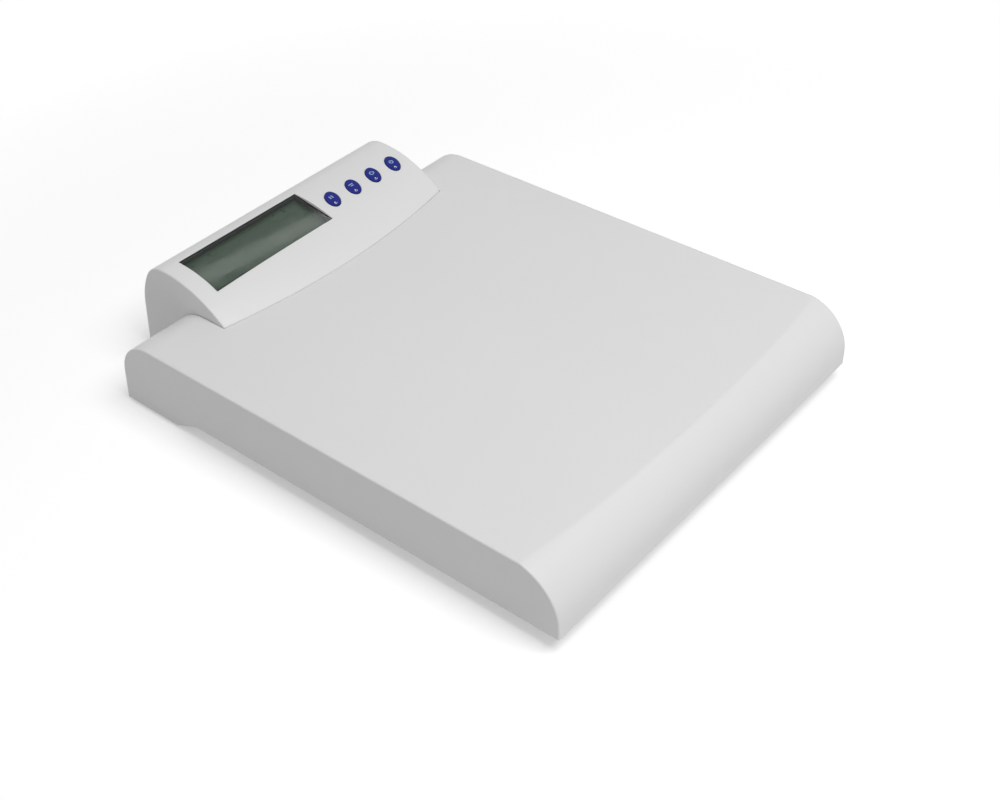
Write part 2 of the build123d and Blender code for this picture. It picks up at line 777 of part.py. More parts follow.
def foot_stem(x, y):
    """A threaded stem with a spanner hexagon and a ball end."""
    hex_top = CELL_LOW - FIT
    hex_low = hex_top - STEM_HEX_H
    stem = rod(STEM_R, x, y, hex_top, CELL_TOP + STEM_STAND)
    hexagon = RegularPolygon(STEM_HEX_FLATS / 2, 6, major_radius=False)
    stem += extrude(Pos(x, y, hex_low) * hexagon, amount=STEM_HEX_H)
    stem += rod(STEM_NECK_R, x, y, BALL_Z, hex_low)
    stem += Pos(x, y, BALL_Z) * Sphere(STEM_BALL_R)
    return stem


def foot_pad(x, y):
    """A rubber pad, turned to a cone, with a socket for the stem's ball."""
    points = [(0, 0), (PAD_R, 0), (PAD_R, PAD_RIM_H), (PAD_TOP_R, PAD_H), (0, PAD_H)]
    pad = revolve(Plane.XZ * make_face(Polyline(points, close=True)), Axis.Z)
    pad -= Pos(0, 0, BALL_Z) * Sphere(STEM_BALL_R + RUNNING_FIT)
    return Pos(x, y, 0) * pad


# Console fixings

def bracket_y():
    """Middle of the brackets that tie the console to the rails."""
    return REAR_Y - BRACKET_Y_SETBACK


def console_bracket(side):
    """A Z-shaped steel bracket between a rail's side and the console's end."""
    rail_x = RAIL_X - RAIL_W / 2
    y0 = bracket_y() - BRACKET_L / 2
    y1 = bracket_y() + BRACKET_L / 2
    upper = block(rail_x - BRACKET_T, rail_x, y0, y1, RAIL_LOW, RAIL_TOP - BRACKET_T)
    web = block(HALF_CONSOLE, rail_x, y0, y1, RAIL_LOW - BRACKET_T, RAIL_LOW)
    lower = block(HALF_CONSOLE, HALF_CONSOLE + BRACKET_T, y0, y1, RAIL_LOW - BRACKET_DROP, RAIL_LOW)
    bracket = upper + web + lower
    for y in bracket_screw_rows():
        bracket -= bracket_bore(1, y, SCREW_R)
    if side < 0:
        bracket = mirror(bracket, Plane.YZ)
    return bracket


def bracket_screw_rows():
    """Places of the two screws in each bracket."""
    half = BRACKET_SCREW_PITCH / 2
    return (bracket_y() - half, bracket_y() + half)


def bracket_bore(side, y, radius):
    """A level bore through a bracket's lower leg and the console's end wall."""
    z = RAIL_LOW - BRACKET_DROP / 2
    return Pos(side * HALF_CONSOLE, y, z) * Rot(0, UP, 0) * Cylinder(radius, 2 * BRACKET_SCREW_L)


def bracket_screws():
    """Screws from inside the console into the brackets."""
    z = RAIL_LOW - BRACKET_DROP / 2
    inner = HALF_CONSOLE - CONSOLE_WALL
    screws = []
    for side in (-1, 1):
        outward = Rot(0, -side * UP, 0) * screw(BRACKET_SCREW_L)
        screws += [Pos(side * inner, y, z) * outward for y in bracket_screw_rows()]
    return Compound(children=screws)


def console_screws():
    """Screws up through the console base into the housing's posts."""
    upward = Rot(2 * UP, 0, 0) * screw(CONSOLE_SCREW_L)
    return Compound(children=[Pos(x, y, screw_seat_z()) * upward for x, y in post_places()])


def screw_seat_z():
    """Height of the counterbored seats in the console base."""
    return BASE_Z + SCREW_HEAD_H + SCREW_PLAY


# Console base and battery bay

def bay_front():
    """Inner front end of the battery bay."""
    return toe_y(0) + BAY_FRONT_GAP


def bay_rear():
    """Inner rear end of the battery bay."""
    return bay_front() + BATTERY_L + BATTERY_NUB_L + 2 * BAY_CONTACT_ROOM


def battery_z():
    """Height of the batteries' axes, just over the door."""
    return BASE_Z + DOOR_T + FIT + BATTERY_R


def battery_xs():
    """Places of the batteries across the bay."""
    return [BAY_X + (i - (CELL_COUNT - 1) / 2) * BATTERY_PITCH for i in range(CELL_COUNT)]


def board_corners():
    """Screw places of the main board."""
    half = BOARD_W / 2 - BOARD_POST_INSET
    front = board_front() + BOARD_POST_INSET
    rear = board_front() + BOARD_D - BOARD_POST_INSET
    return [(BOARD_X + side * half, y) for side in (-1, 1) for y in (front, rear)]


def board_front():
    """Front edge of the main board."""
    return toe_y(0) + BOARD_FRONT_GAP


def board_low():
    """Underside of the main board."""
    return RIM_Z + BOARD_STAND


def console_base():
    """The plate that closes the console, with its battery opening, door track and posts."""
    plate = console_loft(0, BASE_Z) & block(-HALF_W, HALF_W, FRONT_Y, BACK_Y, BASE_Z, RIM_Z)
    plate -= door_track()
    half = BAY_W / 2
    plate -= block(BAY_X - half, BAY_X + half, bay_front(), bay_rear(), BASE_Z, RIM_Z + OVERRUN)
    for x, y in board_corners():
        plate += rod(BOARD_POST_R, x, y, RIM_Z, board_low())
        plate -= rod(SCREW_R, x, y, board_low() - SCREW_REACH, board_low() + OVERRUN)
    for x, y in post_places():
        plate -= rod(SCREW_R + SCREW_PLAY, x, y, BASE_Z - OVERRUN, RIM_Z + OVERRUN)
        plate -= rod(SCREW_HEAD_R + SCREW_PLAY, x, y, BASE_Z - OVERRUN, screw_seat_z())
    return plate


def door_track():
    """The slot that the battery door slides in, open to the rear."""
    half = BAY_W / 2
    front = bay_front() - DOOR_LAP
    top = BASE_Z + DOOR_T + FIT
    low = BASE_Z + DOOR_T - DOOR_TONGUE_T - FIT
    slot = block(BAY_X - half, BAY_X + half, front, BACK_Y + OVERRUN, BASE_Z - OVERRUN, top)
    wide = half + DOOR_TONGUE
    return slot + block(BAY_X - wide, BAY_X + wide, front, BACK_Y + OVERRUN, low, top)


def battery_door():
    """The sliding door, with a tongue along each side and ribs for a fingertip."""
    half = BAY_W / 2 - FIT
    front = bay_front() - DOOR_LAP + FIT
    rear = BACK_Y - DOOR_REAR_SET
    top = BASE_Z + DOOR_T
    door = block(BAY_X - half, BAY_X + half, front, rear, BASE_Z, top)
    wide = half + DOOR_TONGUE
    door += block(BAY_X - wide, BAY_X + wide, front, rear, top - DOOR_TONGUE_T, top)
    for i in range(DOOR_GRIP_RIBS):
        y = rear - (i + 1) * DOOR_GRIP_PITCH
        reach = DOOR_GRIP_W / 2
        low = BASE_Z - OVERRUN
        door -= block(BAY_X - reach, BAY_X + reach, y - DOOR_GRIP_T, y, low, BASE_Z + DOOR_GRIP_DEPTH)
    return door


def battery_box():
    """The tray over the batteries, with a round channel for each."""
    half = BAY_W / 2 + BAY_WALL
    top = battery_z() + BATTERY_R + FIT + BAY_ROOF_T
    box = block(BAY_X - half, BAY_X + half, bay_front() - BAY_WALL, bay_rear() + BAY_WALL, RIM_Z, top)
    inner = BAY_W / 2
    box -= block(BAY_X - inner, BAY_X + inner, bay_front(), bay_rear(), RIM_Z - OVERRUN, battery_z())
    for x in battery_xs():
        channel = Rot(UP, 0, 0) * Cylinder(BATTERY_R + FIT, bay_rear() - bay_front())
        box -= Pos(x, (bay_front() + bay_rear()) / 2, battery_z()) * channel
    return box


def batteries():
    """Six cylindrical cells, each with its raised pole, lying alternately."""
    cells = []
    middle = (bay_front() + bay_rear()) / 2
    for i, x in enumerate(battery_xs()):
        cell = Cylinder(BATTERY_R, BATTERY_L)
        cell += Pos(0, 0, BATTERY_L / 2 + BATTERY_NUB_L / 2) * Cylinder(BATTERY_NUB_R, BATTERY_NUB_L)
        turn = UP if i % 2 else -UP
        cells.append(Pos(x, middle, battery_z()) * Rot(turn, 0, 0) * cell)
    return Compound(children=cells)


def battery_contacts():
    """A contact plate with a sprung tip at each end of each cell."""
    plates = []
    half = CONTACT_W / 2
    middle = (bay_front() + bay_rear()) / 2
    for i, x in enumerate(battery_xs()):
        nub_end = -1 if i % 2 else 1
        for end, wall_y in ((-1, bay_front()), (1, bay_rear())):
            face_y = wall_y - end * CONTACT_T
            pole = BATTERY_NUB_L if end == nub_end else 0
            cell_y = middle + end * (BATTERY_L / 2 + pole)
            low, high = sorted((wall_y, face_y))
            plate = block(x - half, x + half, low, high, battery_z() - half, battery_z() + half)
            reach = abs(face_y - cell_y)
            tip = Rot(UP, 0, 0) * Cylinder(CONTACT_TIP_R, reach)
            plates.append(plate + Pos(x, (face_y + cell_y) / 2, battery_z()) * tip)
    return Compound(children=plates)


# Display

def display_lens():
    """The clear window, flat behind the curved face."""
    w = WINDOW_W - 2 * LENS_PLAY
    h = window_h() - 2 * LENS_PLAY
    return window_plane() * Pos(0, 0, -LENS_T / 2) * Box(w, h, LENS_T)


def display_bezel():
    """The dark frame under the lens."""
    w = WINDOW_W + 2 * BEZEL_LAP
    h = window_h() + 2 * BEZEL_LAP
    frame = Box(w, h, BEZEL_T)
    frame -= Box(WINDOW_W - 2 * BEZEL_LEDGE, window_h() - 2 * BEZEL_LEDGE, BEZEL_T + 2 * OVERRUN)
    return window_plane() * Pos(0, 0, -LENS_T - BEZEL_T / 2) * frame


def lcd_glass():
    """The liquid crystal cell."""
    w = WINDOW_W + 2 * LCD_MARGIN
    h = window_h() + 2 * LCD_MARGIN
    return window_plane() * Pos(0, 0, -LENS_T - BEZEL_T - LCD_T / 2) * Box(w, h, LCD_T)


def lcd_backlight():
    """The light guide behind the cell."""
    w = WINDOW_W
    h = window_h()
    top = LENS_T + BEZEL_T + LCD_T
    return window_plane() * Pos(0, 0, -top - BACKLIGHT_T / 2) * Box(w, h, BACKLIGHT_T)


def display_board():
    """The circuit board that carries the display, screwed to four posts."""
    w = WINDOW_W + 2 * DISPLAY_BOARD_MARGIN
    h = window_h() + 2 * DISPLAY_BOARD_MARGIN
    board = Box(w, h, DISPLAY_BOARD_T)
    for x, y in display_post_places():
        board -= Pos(x, y) * Cylinder(SCREW_R + SCREW_PLAY, DISPLAY_BOARD_T + 2 * OVERRUN)
    return window_plane() * Pos(0, 0, -display_depth() - DISPLAY_BOARD_T / 2) * board


def display_screws():
    """Screws that hold the display board."""
    upward = Rot(2 * UP, 0, 0) * screw(DISPLAY_BOARD_T + SCREW_REACH - FIT)
    low = -display_depth() - DISPLAY_BOARD_T
    return Compound(children=[window_plane() * Pos(x, y, low) * upward for x, y in display_post_places()])


# Keys

def key_place(index):
    """Place of one key in the key plane, at the height of the face there."""
    return key_plane() * Pos(key_x(index) - key_x(1), 0, key_surface(index))


def key_flange_low():
    """Depth of the underside of a key's flange."""
    return CONSOLE_WALL + KEY_UNDERCUT + KEY_FLANGE_T


def plunger_top():
    """Depth of the switch plungers' tops under the key plane."""
    return KEY_BOARD_DEPTH - SWITCH_H - PLUNGER_STAND


def key(index):
    """One oval key: a cap with a rounded edge, a flange that keeps it in, and a stem."""
    flange_low = key_flange_low()
    cap = extrude(Pos(0, 0, -flange_low) * key_oval(0), amount=flange_low + KEY_PROUD)
    top = cap.edges().group_by(Axis.Z)[-1]
    cap = fillet(top, KEY_EDGE_R)
    cap += extrude(Pos(0, 0, -flange_low) * key_oval(KEY_FLANGE), amount=KEY_FLANGE_T)
    stem_low = -plunger_top() - key_surface(index)
    cap += rod(KEY_STEM_R, 0, 0, stem_low, -flange_low)
    return key_place(index) * cap


def plunger(index):
    """The plunger of one switch, which the key presses."""
    top = -plunger_top()
    low = -(KEY_BOARD_DEPTH - SWITCH_H) - PLUNGER_DEPTH
    return key_plane() * Pos(key_x(index) - key_x(1), 0) * rod(PLUNGER_R, 0, 0, low, top)


def key_switches():
    """The four switch bodies on the key board, each bored for its plunger."""
    switches = []
    for i in range(len(KEY_NAMES)):
        body = Pos(0, 0, -KEY_BOARD_DEPTH + SWITCH_H / 2) * Box(SWITCH_W, SWITCH_W, SWITCH_H)
        top = -KEY_BOARD_DEPTH + SWITCH_H
        deep = PLUNGER_DEPTH + KEY_TRAVEL + FIT
        body -= rod(PLUNGER_R + RUNNING_FIT, 0, 0, top - deep, top + OVERRUN)
        switches.append(key_plane() * Pos(key_x(i) - key_x(1), 0) * body)
    return Compound(children=switches)


def key_board():
    """The board under the keys, screwed to two posts."""
    length = (len(KEY_NAMES) - 1) * KEY_PITCH + 2 * KEY_BOARD_MARGIN
    middle = (key_x(0) + key_x(len(KEY_NAMES) - 1)) / 2 - key_x(1)
    board = Pos(middle, 0) * Box(length, KEY_BOARD_H, KEY_BOARD_T)
    for x, y in key_post_places():
        board -= Pos(x, y) * Cylinder(SCREW_R + SCREW_PLAY, KEY_BOARD_T + 2 * OVERRUN)
    return key_plane() * Pos(0, 0, -KEY_BOARD_DEPTH - KEY_BOARD_T / 2) * board


def key_board_screws():
    """Screws that hold the key board."""
    upward = Rot(2 * UP, 0, 0) * screw(KEY_BOARD_T + SCREW_REACH - FIT)
    low = -KEY_BOARD_DEPTH - KEY_BOARD_T
    return Compound(children=[key_plane() * Pos(x, y, low) * upward for x, y in key_post_places()])


# Main board and power inlet

def main_board():
    """The main circuit board on the console base's posts."""
    half = BOARD_W / 2
    low = board_low()
    rear = board_front() + BOARD_D
    board = block(BOARD_X - half, BOARD_X + half, board_front(), rear, low, low + BOARD_T)
    for x, y in board_corners():
        board -= rod(SCREW_R + SCREW_PLAY, x, y, low - OVERRUN, low + BOARD_T + OVERRUN)
    return board


def board_screws():
    """Screws that hold the main board."""
    top = board_low() + BOARD_T
    down = screw(BOARD_T + SCREW_REACH - FIT)
    return Compound(children=[Pos(x, y, top) * down for x, y in board_corners()])


def board_parts():
    """Chips, capacitors and plug headers on the main board."""
    top = board_low() + BOARD_T
    chip_w = CHIP_W_SHARE * BOARD_W
    chip_y = board_front() + BOARD_D / 2
    capacitor_y = chip_y + CHIP_D + CAPACITOR_R
    header_y = board_front() + CONNECTOR_W
    parts = []
    for step in (-1, 0, 1):
        x = BOARD_X + step * 2 * chip_w
        parts.append(Pos(x, chip_y, top + CHIP_H / 2) * Box(chip_w, CHIP_D, CHIP_H))
        parts.append(rod(CAPACITOR_R, x, capacitor_y, top, top + CAPACITOR_H))
        header = Box(CONNECTOR_L, CONNECTOR_W, CONNECTOR_H)
        parts.append(Pos(x, header_y, top + CONNECTOR_H / 2) * header)
    return Compound(children=parts)


def buzzer():
    """A round sounder with its sound hole, between the plug headers and the chips."""
    y = board_front() + 2 * CONNECTOR_W + BUZZER_R
    top = board_low() + BOARD_T
    body = rod(BUZZER_R, BOARD_X, y, top, top + BUZZER_H)
    return body - rod(BUZZER_HOLE_R, BOARD_X, y, top + BUZZER_H / 2, top + BUZZER_H + OVERRUN)


def dc_inlet():
    """The barrel inlet: a body inside, a nose through the wall and a pin in its socket."""
    seat_y = inlet_seat_y()
    face_y = inlet_face_y()
    body = Box(INLET_BODY_W, INLET_BODY_L, INLET_BODY_W)
    body = Pos(INLET_X, seat_y - INLET_BODY_L / 2, INLET_Z) * body
    along = Rot(UP, 0, 0)
    nose = Pos(INLET_X, (seat_y + face_y) / 2, INLET_Z) * along * Cylinder(INLET_NOSE_R, face_y - seat_y)
    floor_y = face_y - INLET_SOCKET_DEPTH
    deep = INLET_SOCKET_DEPTH + OVERRUN
    socket = Pos(INLET_X, floor_y + deep / 2, INLET_Z) * along * Cylinder(INLET_SOCKET_R, deep)
    reach = INLET_SOCKET_DEPTH - INLET_PIN_SET
    pin = Pos(INLET_X, floor_y + reach / 2, INLET_Z) * along * Cylinder(INLET_PIN_R, reach)
    return body + nose - socket + pin


# Every sub-part is written to its own file

os.makedirs("parts", exist_ok=True)

save("platform_cover", platform_cover())
save("console_housing", console_housing())
save("deck_plate", deck_plate())
for side, hand in ((-1, "left"), (1, "right")):
    save(f"rail_{hand}", rail(side))
    save(f"console_bracket_{hand}", console_bracket(side))
for row, y in crossbar_rows().items():
    save(f"crossbar_{row}", crossbar(y))
for name, x, y, inward in feet():
    save(f"load_cell_{name}", load_cell(x, y, inward))
    save(f"foot_stem_{name}", foot_stem(x, y))
    save(f"foot_pad_{name}", foot_pad(x, y))
for i, name in enumerate(KEY_NAMES):
    save(f"{name}_key", key(i))
    save(f"{name}_plunger", plunger(i))
for make in (cover_screws, cell_spacers, cell_bolts, gauge_covers, bracket_screws, console_screws,
             console_base, battery_door, battery_box, batteries, battery_contacts, display_lens,
             display_bezel, lcd_glass, lcd_backlight, display_board, display_screws, key_switches,
             key_board, key_board_screws, main_board, board_screws, board_parts, buzzer, dc_inlet):
    save(make.__name__, make())
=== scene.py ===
import functools
import math

import bmesh
import bpy
from bpy.props import FloatProperty, FloatVectorProperty, PointerProperty
from mathutils import Matrix, Vector


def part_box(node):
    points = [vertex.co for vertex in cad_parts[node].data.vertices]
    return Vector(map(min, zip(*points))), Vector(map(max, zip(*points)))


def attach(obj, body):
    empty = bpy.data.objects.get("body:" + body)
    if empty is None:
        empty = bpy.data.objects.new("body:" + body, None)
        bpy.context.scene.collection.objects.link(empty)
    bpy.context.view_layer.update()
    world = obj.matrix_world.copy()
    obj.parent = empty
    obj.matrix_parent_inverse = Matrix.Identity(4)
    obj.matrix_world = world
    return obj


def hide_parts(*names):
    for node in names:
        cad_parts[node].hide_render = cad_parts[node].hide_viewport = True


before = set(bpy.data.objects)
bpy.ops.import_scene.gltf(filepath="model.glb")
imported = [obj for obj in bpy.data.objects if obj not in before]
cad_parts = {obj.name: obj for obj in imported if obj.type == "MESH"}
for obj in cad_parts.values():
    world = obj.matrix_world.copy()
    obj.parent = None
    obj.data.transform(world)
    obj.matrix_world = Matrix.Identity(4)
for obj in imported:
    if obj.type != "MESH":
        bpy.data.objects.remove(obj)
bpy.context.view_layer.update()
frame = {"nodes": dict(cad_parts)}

bl_info = {
    "name": "Medical floor scale",
    "version": (1, 0, 0),
    "blender": (4, 5, 0),
    "location": "3D View > Sidebar > Scale",
    "description": "Builds the finished pieces of a low floor scale round its packed frame",
    "category": "Object",
}

# Lengths below are in millimetres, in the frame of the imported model.
MM = 0.001
MERGE = 0.004
SHARP = 40.0
SHARP_FLAT = 10.0
WHITE = (1.0, 1.0, 1.0, 1.0)
UP, DOWN = (0, 0, 1), (0, 0, -1)
SIDES = (-1, 1)
SQUARE = ((-1, -1), (1, -1), (1, 1), (-1, 1))


def frame_mm(node):
    """A node's lowest and highest corners in millimetres."""
    low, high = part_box(node)
    return low / MM, high / MM


COVER_LOW, COVER_HIGH = frame_mm("platform_cover")
HOUSING_LOW, HOUSING_HIGH = frame_mm("console_housing")

# Platform cover
FRONT_Y = COVER_LOW.y
REAR_Y = COVER_HIGH.y
HALF_W = COVER_HIGH.x
LEG_Z = COVER_LOW.z
DECK_Z = 70.0
SKIRT_Z = 14.2
SKIRT_END = 12.0
NOSE_R = 43.4
NOSE_Y = FRONT_Y + NOSE_R
NOSE_Z = DECK_Z + 0.8 - NOSE_R
NOSE_BEND = 1.8
REAR_R = 40.0
DRAFT = 6.5
LEG_FRONT = REAR_Y - 64.0
RAMP_ANGLE = 22.4
RAMP_R = 32.0
RIB_Z = DECK_Z - 8.5
RIB_PITCH = 44.0
RIB_FRONT = FRONT_Y + 58.0
BOSS_Y = (RIB_FRONT, -94.175, 42.0)
BOSS_R = 5.0

# Console
HALF_CONSOLE = HOUSING_HIGH.x
CREST_Z = HOUSING_HIGH.z
BACK_Y = frame_mm("console_base")[1].y
CREST_Y = 217.086
TOE_RUN = 72.0
TOE_BOW = 14.0
TOE_DROP = 1.2
TOE_BEND = 0.012
CREST_R = 28.0
CREST_TURN = 58.0
BACK_R = 85.0
RIM_Z = HOUSING_LOW.z
SEAM = 0.4
NOTCH_HALF = HALF_CONSOLE + SEAM
FLANGE_T = 2.5
FLANGE_H = 10.0
FLANGE_LEAST = 0.4

# Dish of the deck
DISH_SAG = 3.4
DISH_HALF = HALF_W - 8.0
DISH_R = (DISH_HALF ** 2 + DISH_SAG ** 2) / (2 * DISH_SAG)
DISH_SLOPE = DISH_SAG / (CREST_Y - TOE_RUN - TOE_BOW - NOSE_Y)

# Window and keys
WINDOW_W = 139.2
WINDOW_H = 48.53
WINDOW_X = -50.0
LENS_T = 1.6
LENS_PLAY = 0.15
LENS_CLEAR = 0.15
SEAT_COVER = 0.6
POCKET_LAP = 3.15
BEZEL_T = 4.0
BEZEL_LAP = 3.0
BEZEL_LEDGE = 1.6
BEZEL_EDGE = 0.25
BEZEL_SLOPE = 2.1
LCD_T = 2.8
LCD_LAP = 1.4
FIGURE_H = 26.0
FIGURE_PITCH = 21.0
KEY_NAMES = ("hold", "unit", "tare", "power")
KEY_PITCH = 26.9
KEY_FIRST_X = 38.0
KEY_X = tuple(KEY_FIRST_X + k * KEY_PITCH for k in range(len(KEY_NAMES)))
KEY_W = 13.8
KEY_H = 20.6
KEY_LEAN = math.radians(21.5)
KEY_GAP = 0.3
KEY_PROUD = 0.6
KEY_HEIGHTS = (0.607, 0.455, 0.198, -0.203)
KEY_REACH = 12.5
KEY_COLUMNS = 12
KEY_FLANGE_LOW = 5.0
KEY_FLANGE_T = 1.2
KEY_FLANGE_W = 1.2
KEY_STEM_R = 2.4
KEY_STEM_LOW = 10.2
PRINT_T = 0.05
PRINT_SINK = 0.15

# Power inlet
INLET_X = 96.0
INLET_Z = 26.0
INLET_R = 5.2
INLET_ROWS = (33.0, 30.5, 28.0, 26.0, 24.0, 21.5, 19.0)
INLET_COLUMNS = 3
INLET_REACH = 7.0
COLLAR_R = 7.9
SEAT_Y = BACK_Y - 10.0

# Feet, with the ball of each stem in its pad
CORNERS = {f"{end}_{side}": (x, y) for end, y in (("front", -192.25), ("rear", 172.25))
           for side, x in (("left", -160.0), ("right", 160.0))}
BALL_Z = 7.6
BALL_R = 6.0
SOCKET_R = 6.05
STEM_R = 5.0
STEM_LOW, STEM_TOP = 20.0, 41.5
STEM_PITCH = 1.5
STEM_THREAD = 0.45

# Seats of the screws' and bolts' heads
BOSS_SCREW_Z = 59.5
CONSOLE_SCREWS = (131.5, (157.086, 229.086), 7.9)
DISPLAY_SCREWS = (76.6, 31.27, -13.2)
KEY_BOARD_SCREWS_W = -16.6
BOARD_SCREWS = ((15.0, 117.0), (170.086, 228.086), 21.1)
BRACKET_SCREWS = (135.0, (151.75, 179.75), 33.5)
CELL_BOLTS = (160.0, (-125.25, -105.25, 85.25, 105.25), 26.5)

# Stage, in metres
FLOOR_REACH = 3.0
FLOOR_FADE = (0.42, 0.75)
AIM = (0, 0.05, 0.05)
KEY_LIGHT = (1.2, 1.2)
CARD_LIGHT = (0.30, 0.024)

# Rounded edges: share of the radius outside the edge, and share that the surface has dropped there
ROUND = tuple((1 - math.sin(math.radians(a)), 1 - math.cos(math.radians(a))) for a in (0, 30, 60, 90))
QUARTER = (0.0, 22.5, 45.0, 67.5, 90.0)


class Plane:
    """A sloped plane that keeps its X axis level, with its own Y axis up the slope."""

    def __init__(self, origin, lean):
        self.origin = Vector(origin)
        self.normal = Vector((0, -lean, math.sqrt(1 - lean * lean)))
        self.up = Vector((0, self.normal.z, lean))

    def at(self, x, v, w=0.0):
        """A point from its place across, up the slope and above the plane."""
        point = self.origin + self.up * v + self.normal * w
        return Vector((x, point.y, point.z))

    def rise(self, point):
        """A point's place up the slope."""
        return (Vector(point) - Vector((point[0], self.origin.y, self.origin.z))).dot(self.up)

    def over(self, point):
        """A point's height over the plane."""
        return (Vector(point) - Vector((point[0], self.origin.y, self.origin.z))).dot(self.normal)


WINDOW = Plane((WINDOW_X, 192.727, 93.772), 0.178532)
KEYS = Plane((64.9, 186.239, 94.366), 0.229008)


# Lines and points

def polar(centre, radius, angle):
    """A point from its distance and angle round a centre."""
    return centre[0] + radius * math.cos(angle), centre[1] + radius * math.sin(angle)


def arc_at(y, z, radius, degrees):
    """A point of an arc in the side view."""
    return polar((y, z), radius, math.radians(degrees))


def circle(radius, count, centre):
    """Even points of a circle."""
    return [polar(centre, radius, 2 * math.pi * k / count) for k in range(count)]


def oval_spot(width, height, angle, lean=KEY_LEAN):
    """A point of a leaning oval, from half its width and height."""
    x, v = width * math.cos(angle), height * math.sin(angle)
    return x * math.cos(lean) + v * math.sin(lean), v * math.cos(lean) - x * math.sin(lean)


def between(a, b, share):
    """A value or a pair part of the way from one to another."""
    if isinstance(a, tuple):
        return tuple(p + (q - p) * share for p, q in zip(a, b))
    return a + (b - a) * share


def bent(a, corner, b, share):
    """A point of a smooth bend from one point to another round a corner."""
    return between(between(a, corner, share), between(corner, b, share), share)


def steps(count, first=0):
    """Even shares from 0 to 1, starting at one of them."""
    return [i / count for i in range(first, count + 1)]


def solve(measure, target, low, high):
    """Where a rising measure reaches a target."""
    for _ in range(34):
        middle = (low + high) / 2
        if measure(middle) < target:
            low = middle
        else:
            high = middle
    return (low + high) / 2


# Mesh making

class Surface:
    """Gathers the corners and faces of one closed mesh, in millimetres."""

    def __init__(self, crease=SHARP):
        self.points = []
        self.faces = []
        self.crease = crease

    def face(self, corners):
        """One face from its corners in order."""
        start = len(self.points)
        self.points += [Vector(c) * MM for c in corners]
        self.faces.append(tuple(range(start, len(self.points))))

    def strip(self, *lines):
        """Faces between open lines of corners, each joined to the next."""
        for one, other in zip(lines, lines[1:]):
            for i in range(len(one) - 1):
                self.face((one[i], one[i + 1], other[i + 1], other[i]))

    def loop(self, *rings):
        """Faces between closed lines of corners, each joined to the next."""
        self.strip(*([*ring, ring[0]] for ring in rings))

    def stack(self, rings):
        """A closed form from its rings, with the first and the last filled."""
        self.loop(*rings)
        self.face(rings[0])
        self.face(rings[-1])

    def turned(self, profile, centre, count, plane=None):
        """A form turned from a profile of radius and height, about an upright axis or a plane's own."""
        at = plane.at if plane else lambda *place: Vector(place)
        self.loop(*([at(x, y, height) for x, y in circle(radius, count, centre)]
                    for radius, height in profile))

    def mesh(self, name):
        """The mesh as it was gathered."""
        mesh = bpy.data.meshes.new(name)
        mesh.from_pydata(self.points, [], self.faces)
        return mesh

    def build(self, name, body, look, *nodes):
        """The finished object: merged, closed, facing outwards and riding on its body."""
        thing = settle(name, self.mesh(name), body, look, *nodes)
        smooth(thing.data, self.crease)
        return thing


def settle(name, mesh, body, look, *nodes):
    """Merge a mesh, check that it is closed, and make it a piece of the object."""
    shape = bmesh.new()
    shape.from_mesh(mesh)
    bmesh.ops.remove_doubles(shape, verts=shape.verts, dist=MERGE * MM)
    bmesh.ops.dissolve_degenerate(shape, edges=shape.edges, dist=MERGE * MM / 4)
    bmesh.ops.recalc_face_normals(shape, faces=shape.faces)
    open_edges = [e for e in shape.edges if len(e.link_faces) != 2]
    if open_edges:
        places = [tuple(round(c / MM, 1) for c in e.verts[0].co) for e in open_edges[:12]]
        raise RuntimeError(f"{name} has {len(open_edges)} open edges, near {places}")
    shape.to_mesh(mesh)
    shape.free()
    return piece(name, mesh, body, look, *nodes)


def linked(name, data):
    """A new object in the scene."""
    thing = bpy.data.objects.new(name, data)
    bpy.context.scene.collection.objects.link(thing)
    return thing


def piece(name, mesh, body, look, *nodes):
    """A named object from a finished mesh, with its body, its finish and the nodes it stands for."""
    mesh.name = name
    thing = linked(name, mesh)
    mesh.materials.clear()
    mesh.materials.append(finish(look))
    smooth(mesh)
    if nodes:
        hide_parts(*nodes)
    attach(thing, body)
    return thing


def smooth(mesh, angle=SHARP):
    """Shade smooth, with an edge kept sharp past an angle."""
    mesh.polygons.foreach_set("use_smooth", [True] * len(mesh.polygons))
    mesh.set_sharp_from_angle(angle=math.radians(angle))


def weighted(thing):
    """Let large faces decide the shading at their corners."""
    modifier = thing.modifiers.new("Even shading", "WEIGHTED_NORMAL")
    modifier.keep_sharp = True


def refined(node, body, look, width):
    """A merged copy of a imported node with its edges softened, standing for that node."""
    name = f"{node}_finished"
    shape = bmesh.new()
    shape.from_mesh(frame["nodes"][node].data)
    bmesh.ops.remove_doubles(shape, verts=shape.verts, dist=MERGE * MM / 2)
    limit = math.radians(0.5)
    bmesh.ops.dissolve_limit(shape, angle_limit=limit, verts=shape.verts, edges=shape.edges)
    mesh = bpy.data.meshes.new(name)
    shape.to_mesh(mesh)
    shape.free()
    thing = piece(name, mesh, body, look, node)
    modifier = thing.modifiers.new("Soft edges", "BEVEL")
    modifier.width = width * MM
    modifier.segments = 2
    modifier.limit_method = "ANGLE"
    modifier.angle_limit = math.radians(SHARP)
    weighted(thing)


def paint(look, *nodes):
    """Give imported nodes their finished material."""
    for node in nodes:
        for slot in frame["nodes"][node].material_slots:
            slot.material = finish(look)


# Node helpers

def add(tree, kind, settings=None, **inputs):
    """A node with its settings, and each input either set or linked."""
    node = tree.nodes.new(kind)
    for key, value in (settings or {}).items():
        setattr(node, key, value)
    for key, value in inputs.items():
        socket = node.inputs[int(key[1:])] if key[0] == "i" and key[1:].isdigit() else node.inputs[key]
        if isinstance(value, bpy.types.NodeSocket):
            tree.links.new(value, socket)
        else:
            socket.default_value = value
    return node


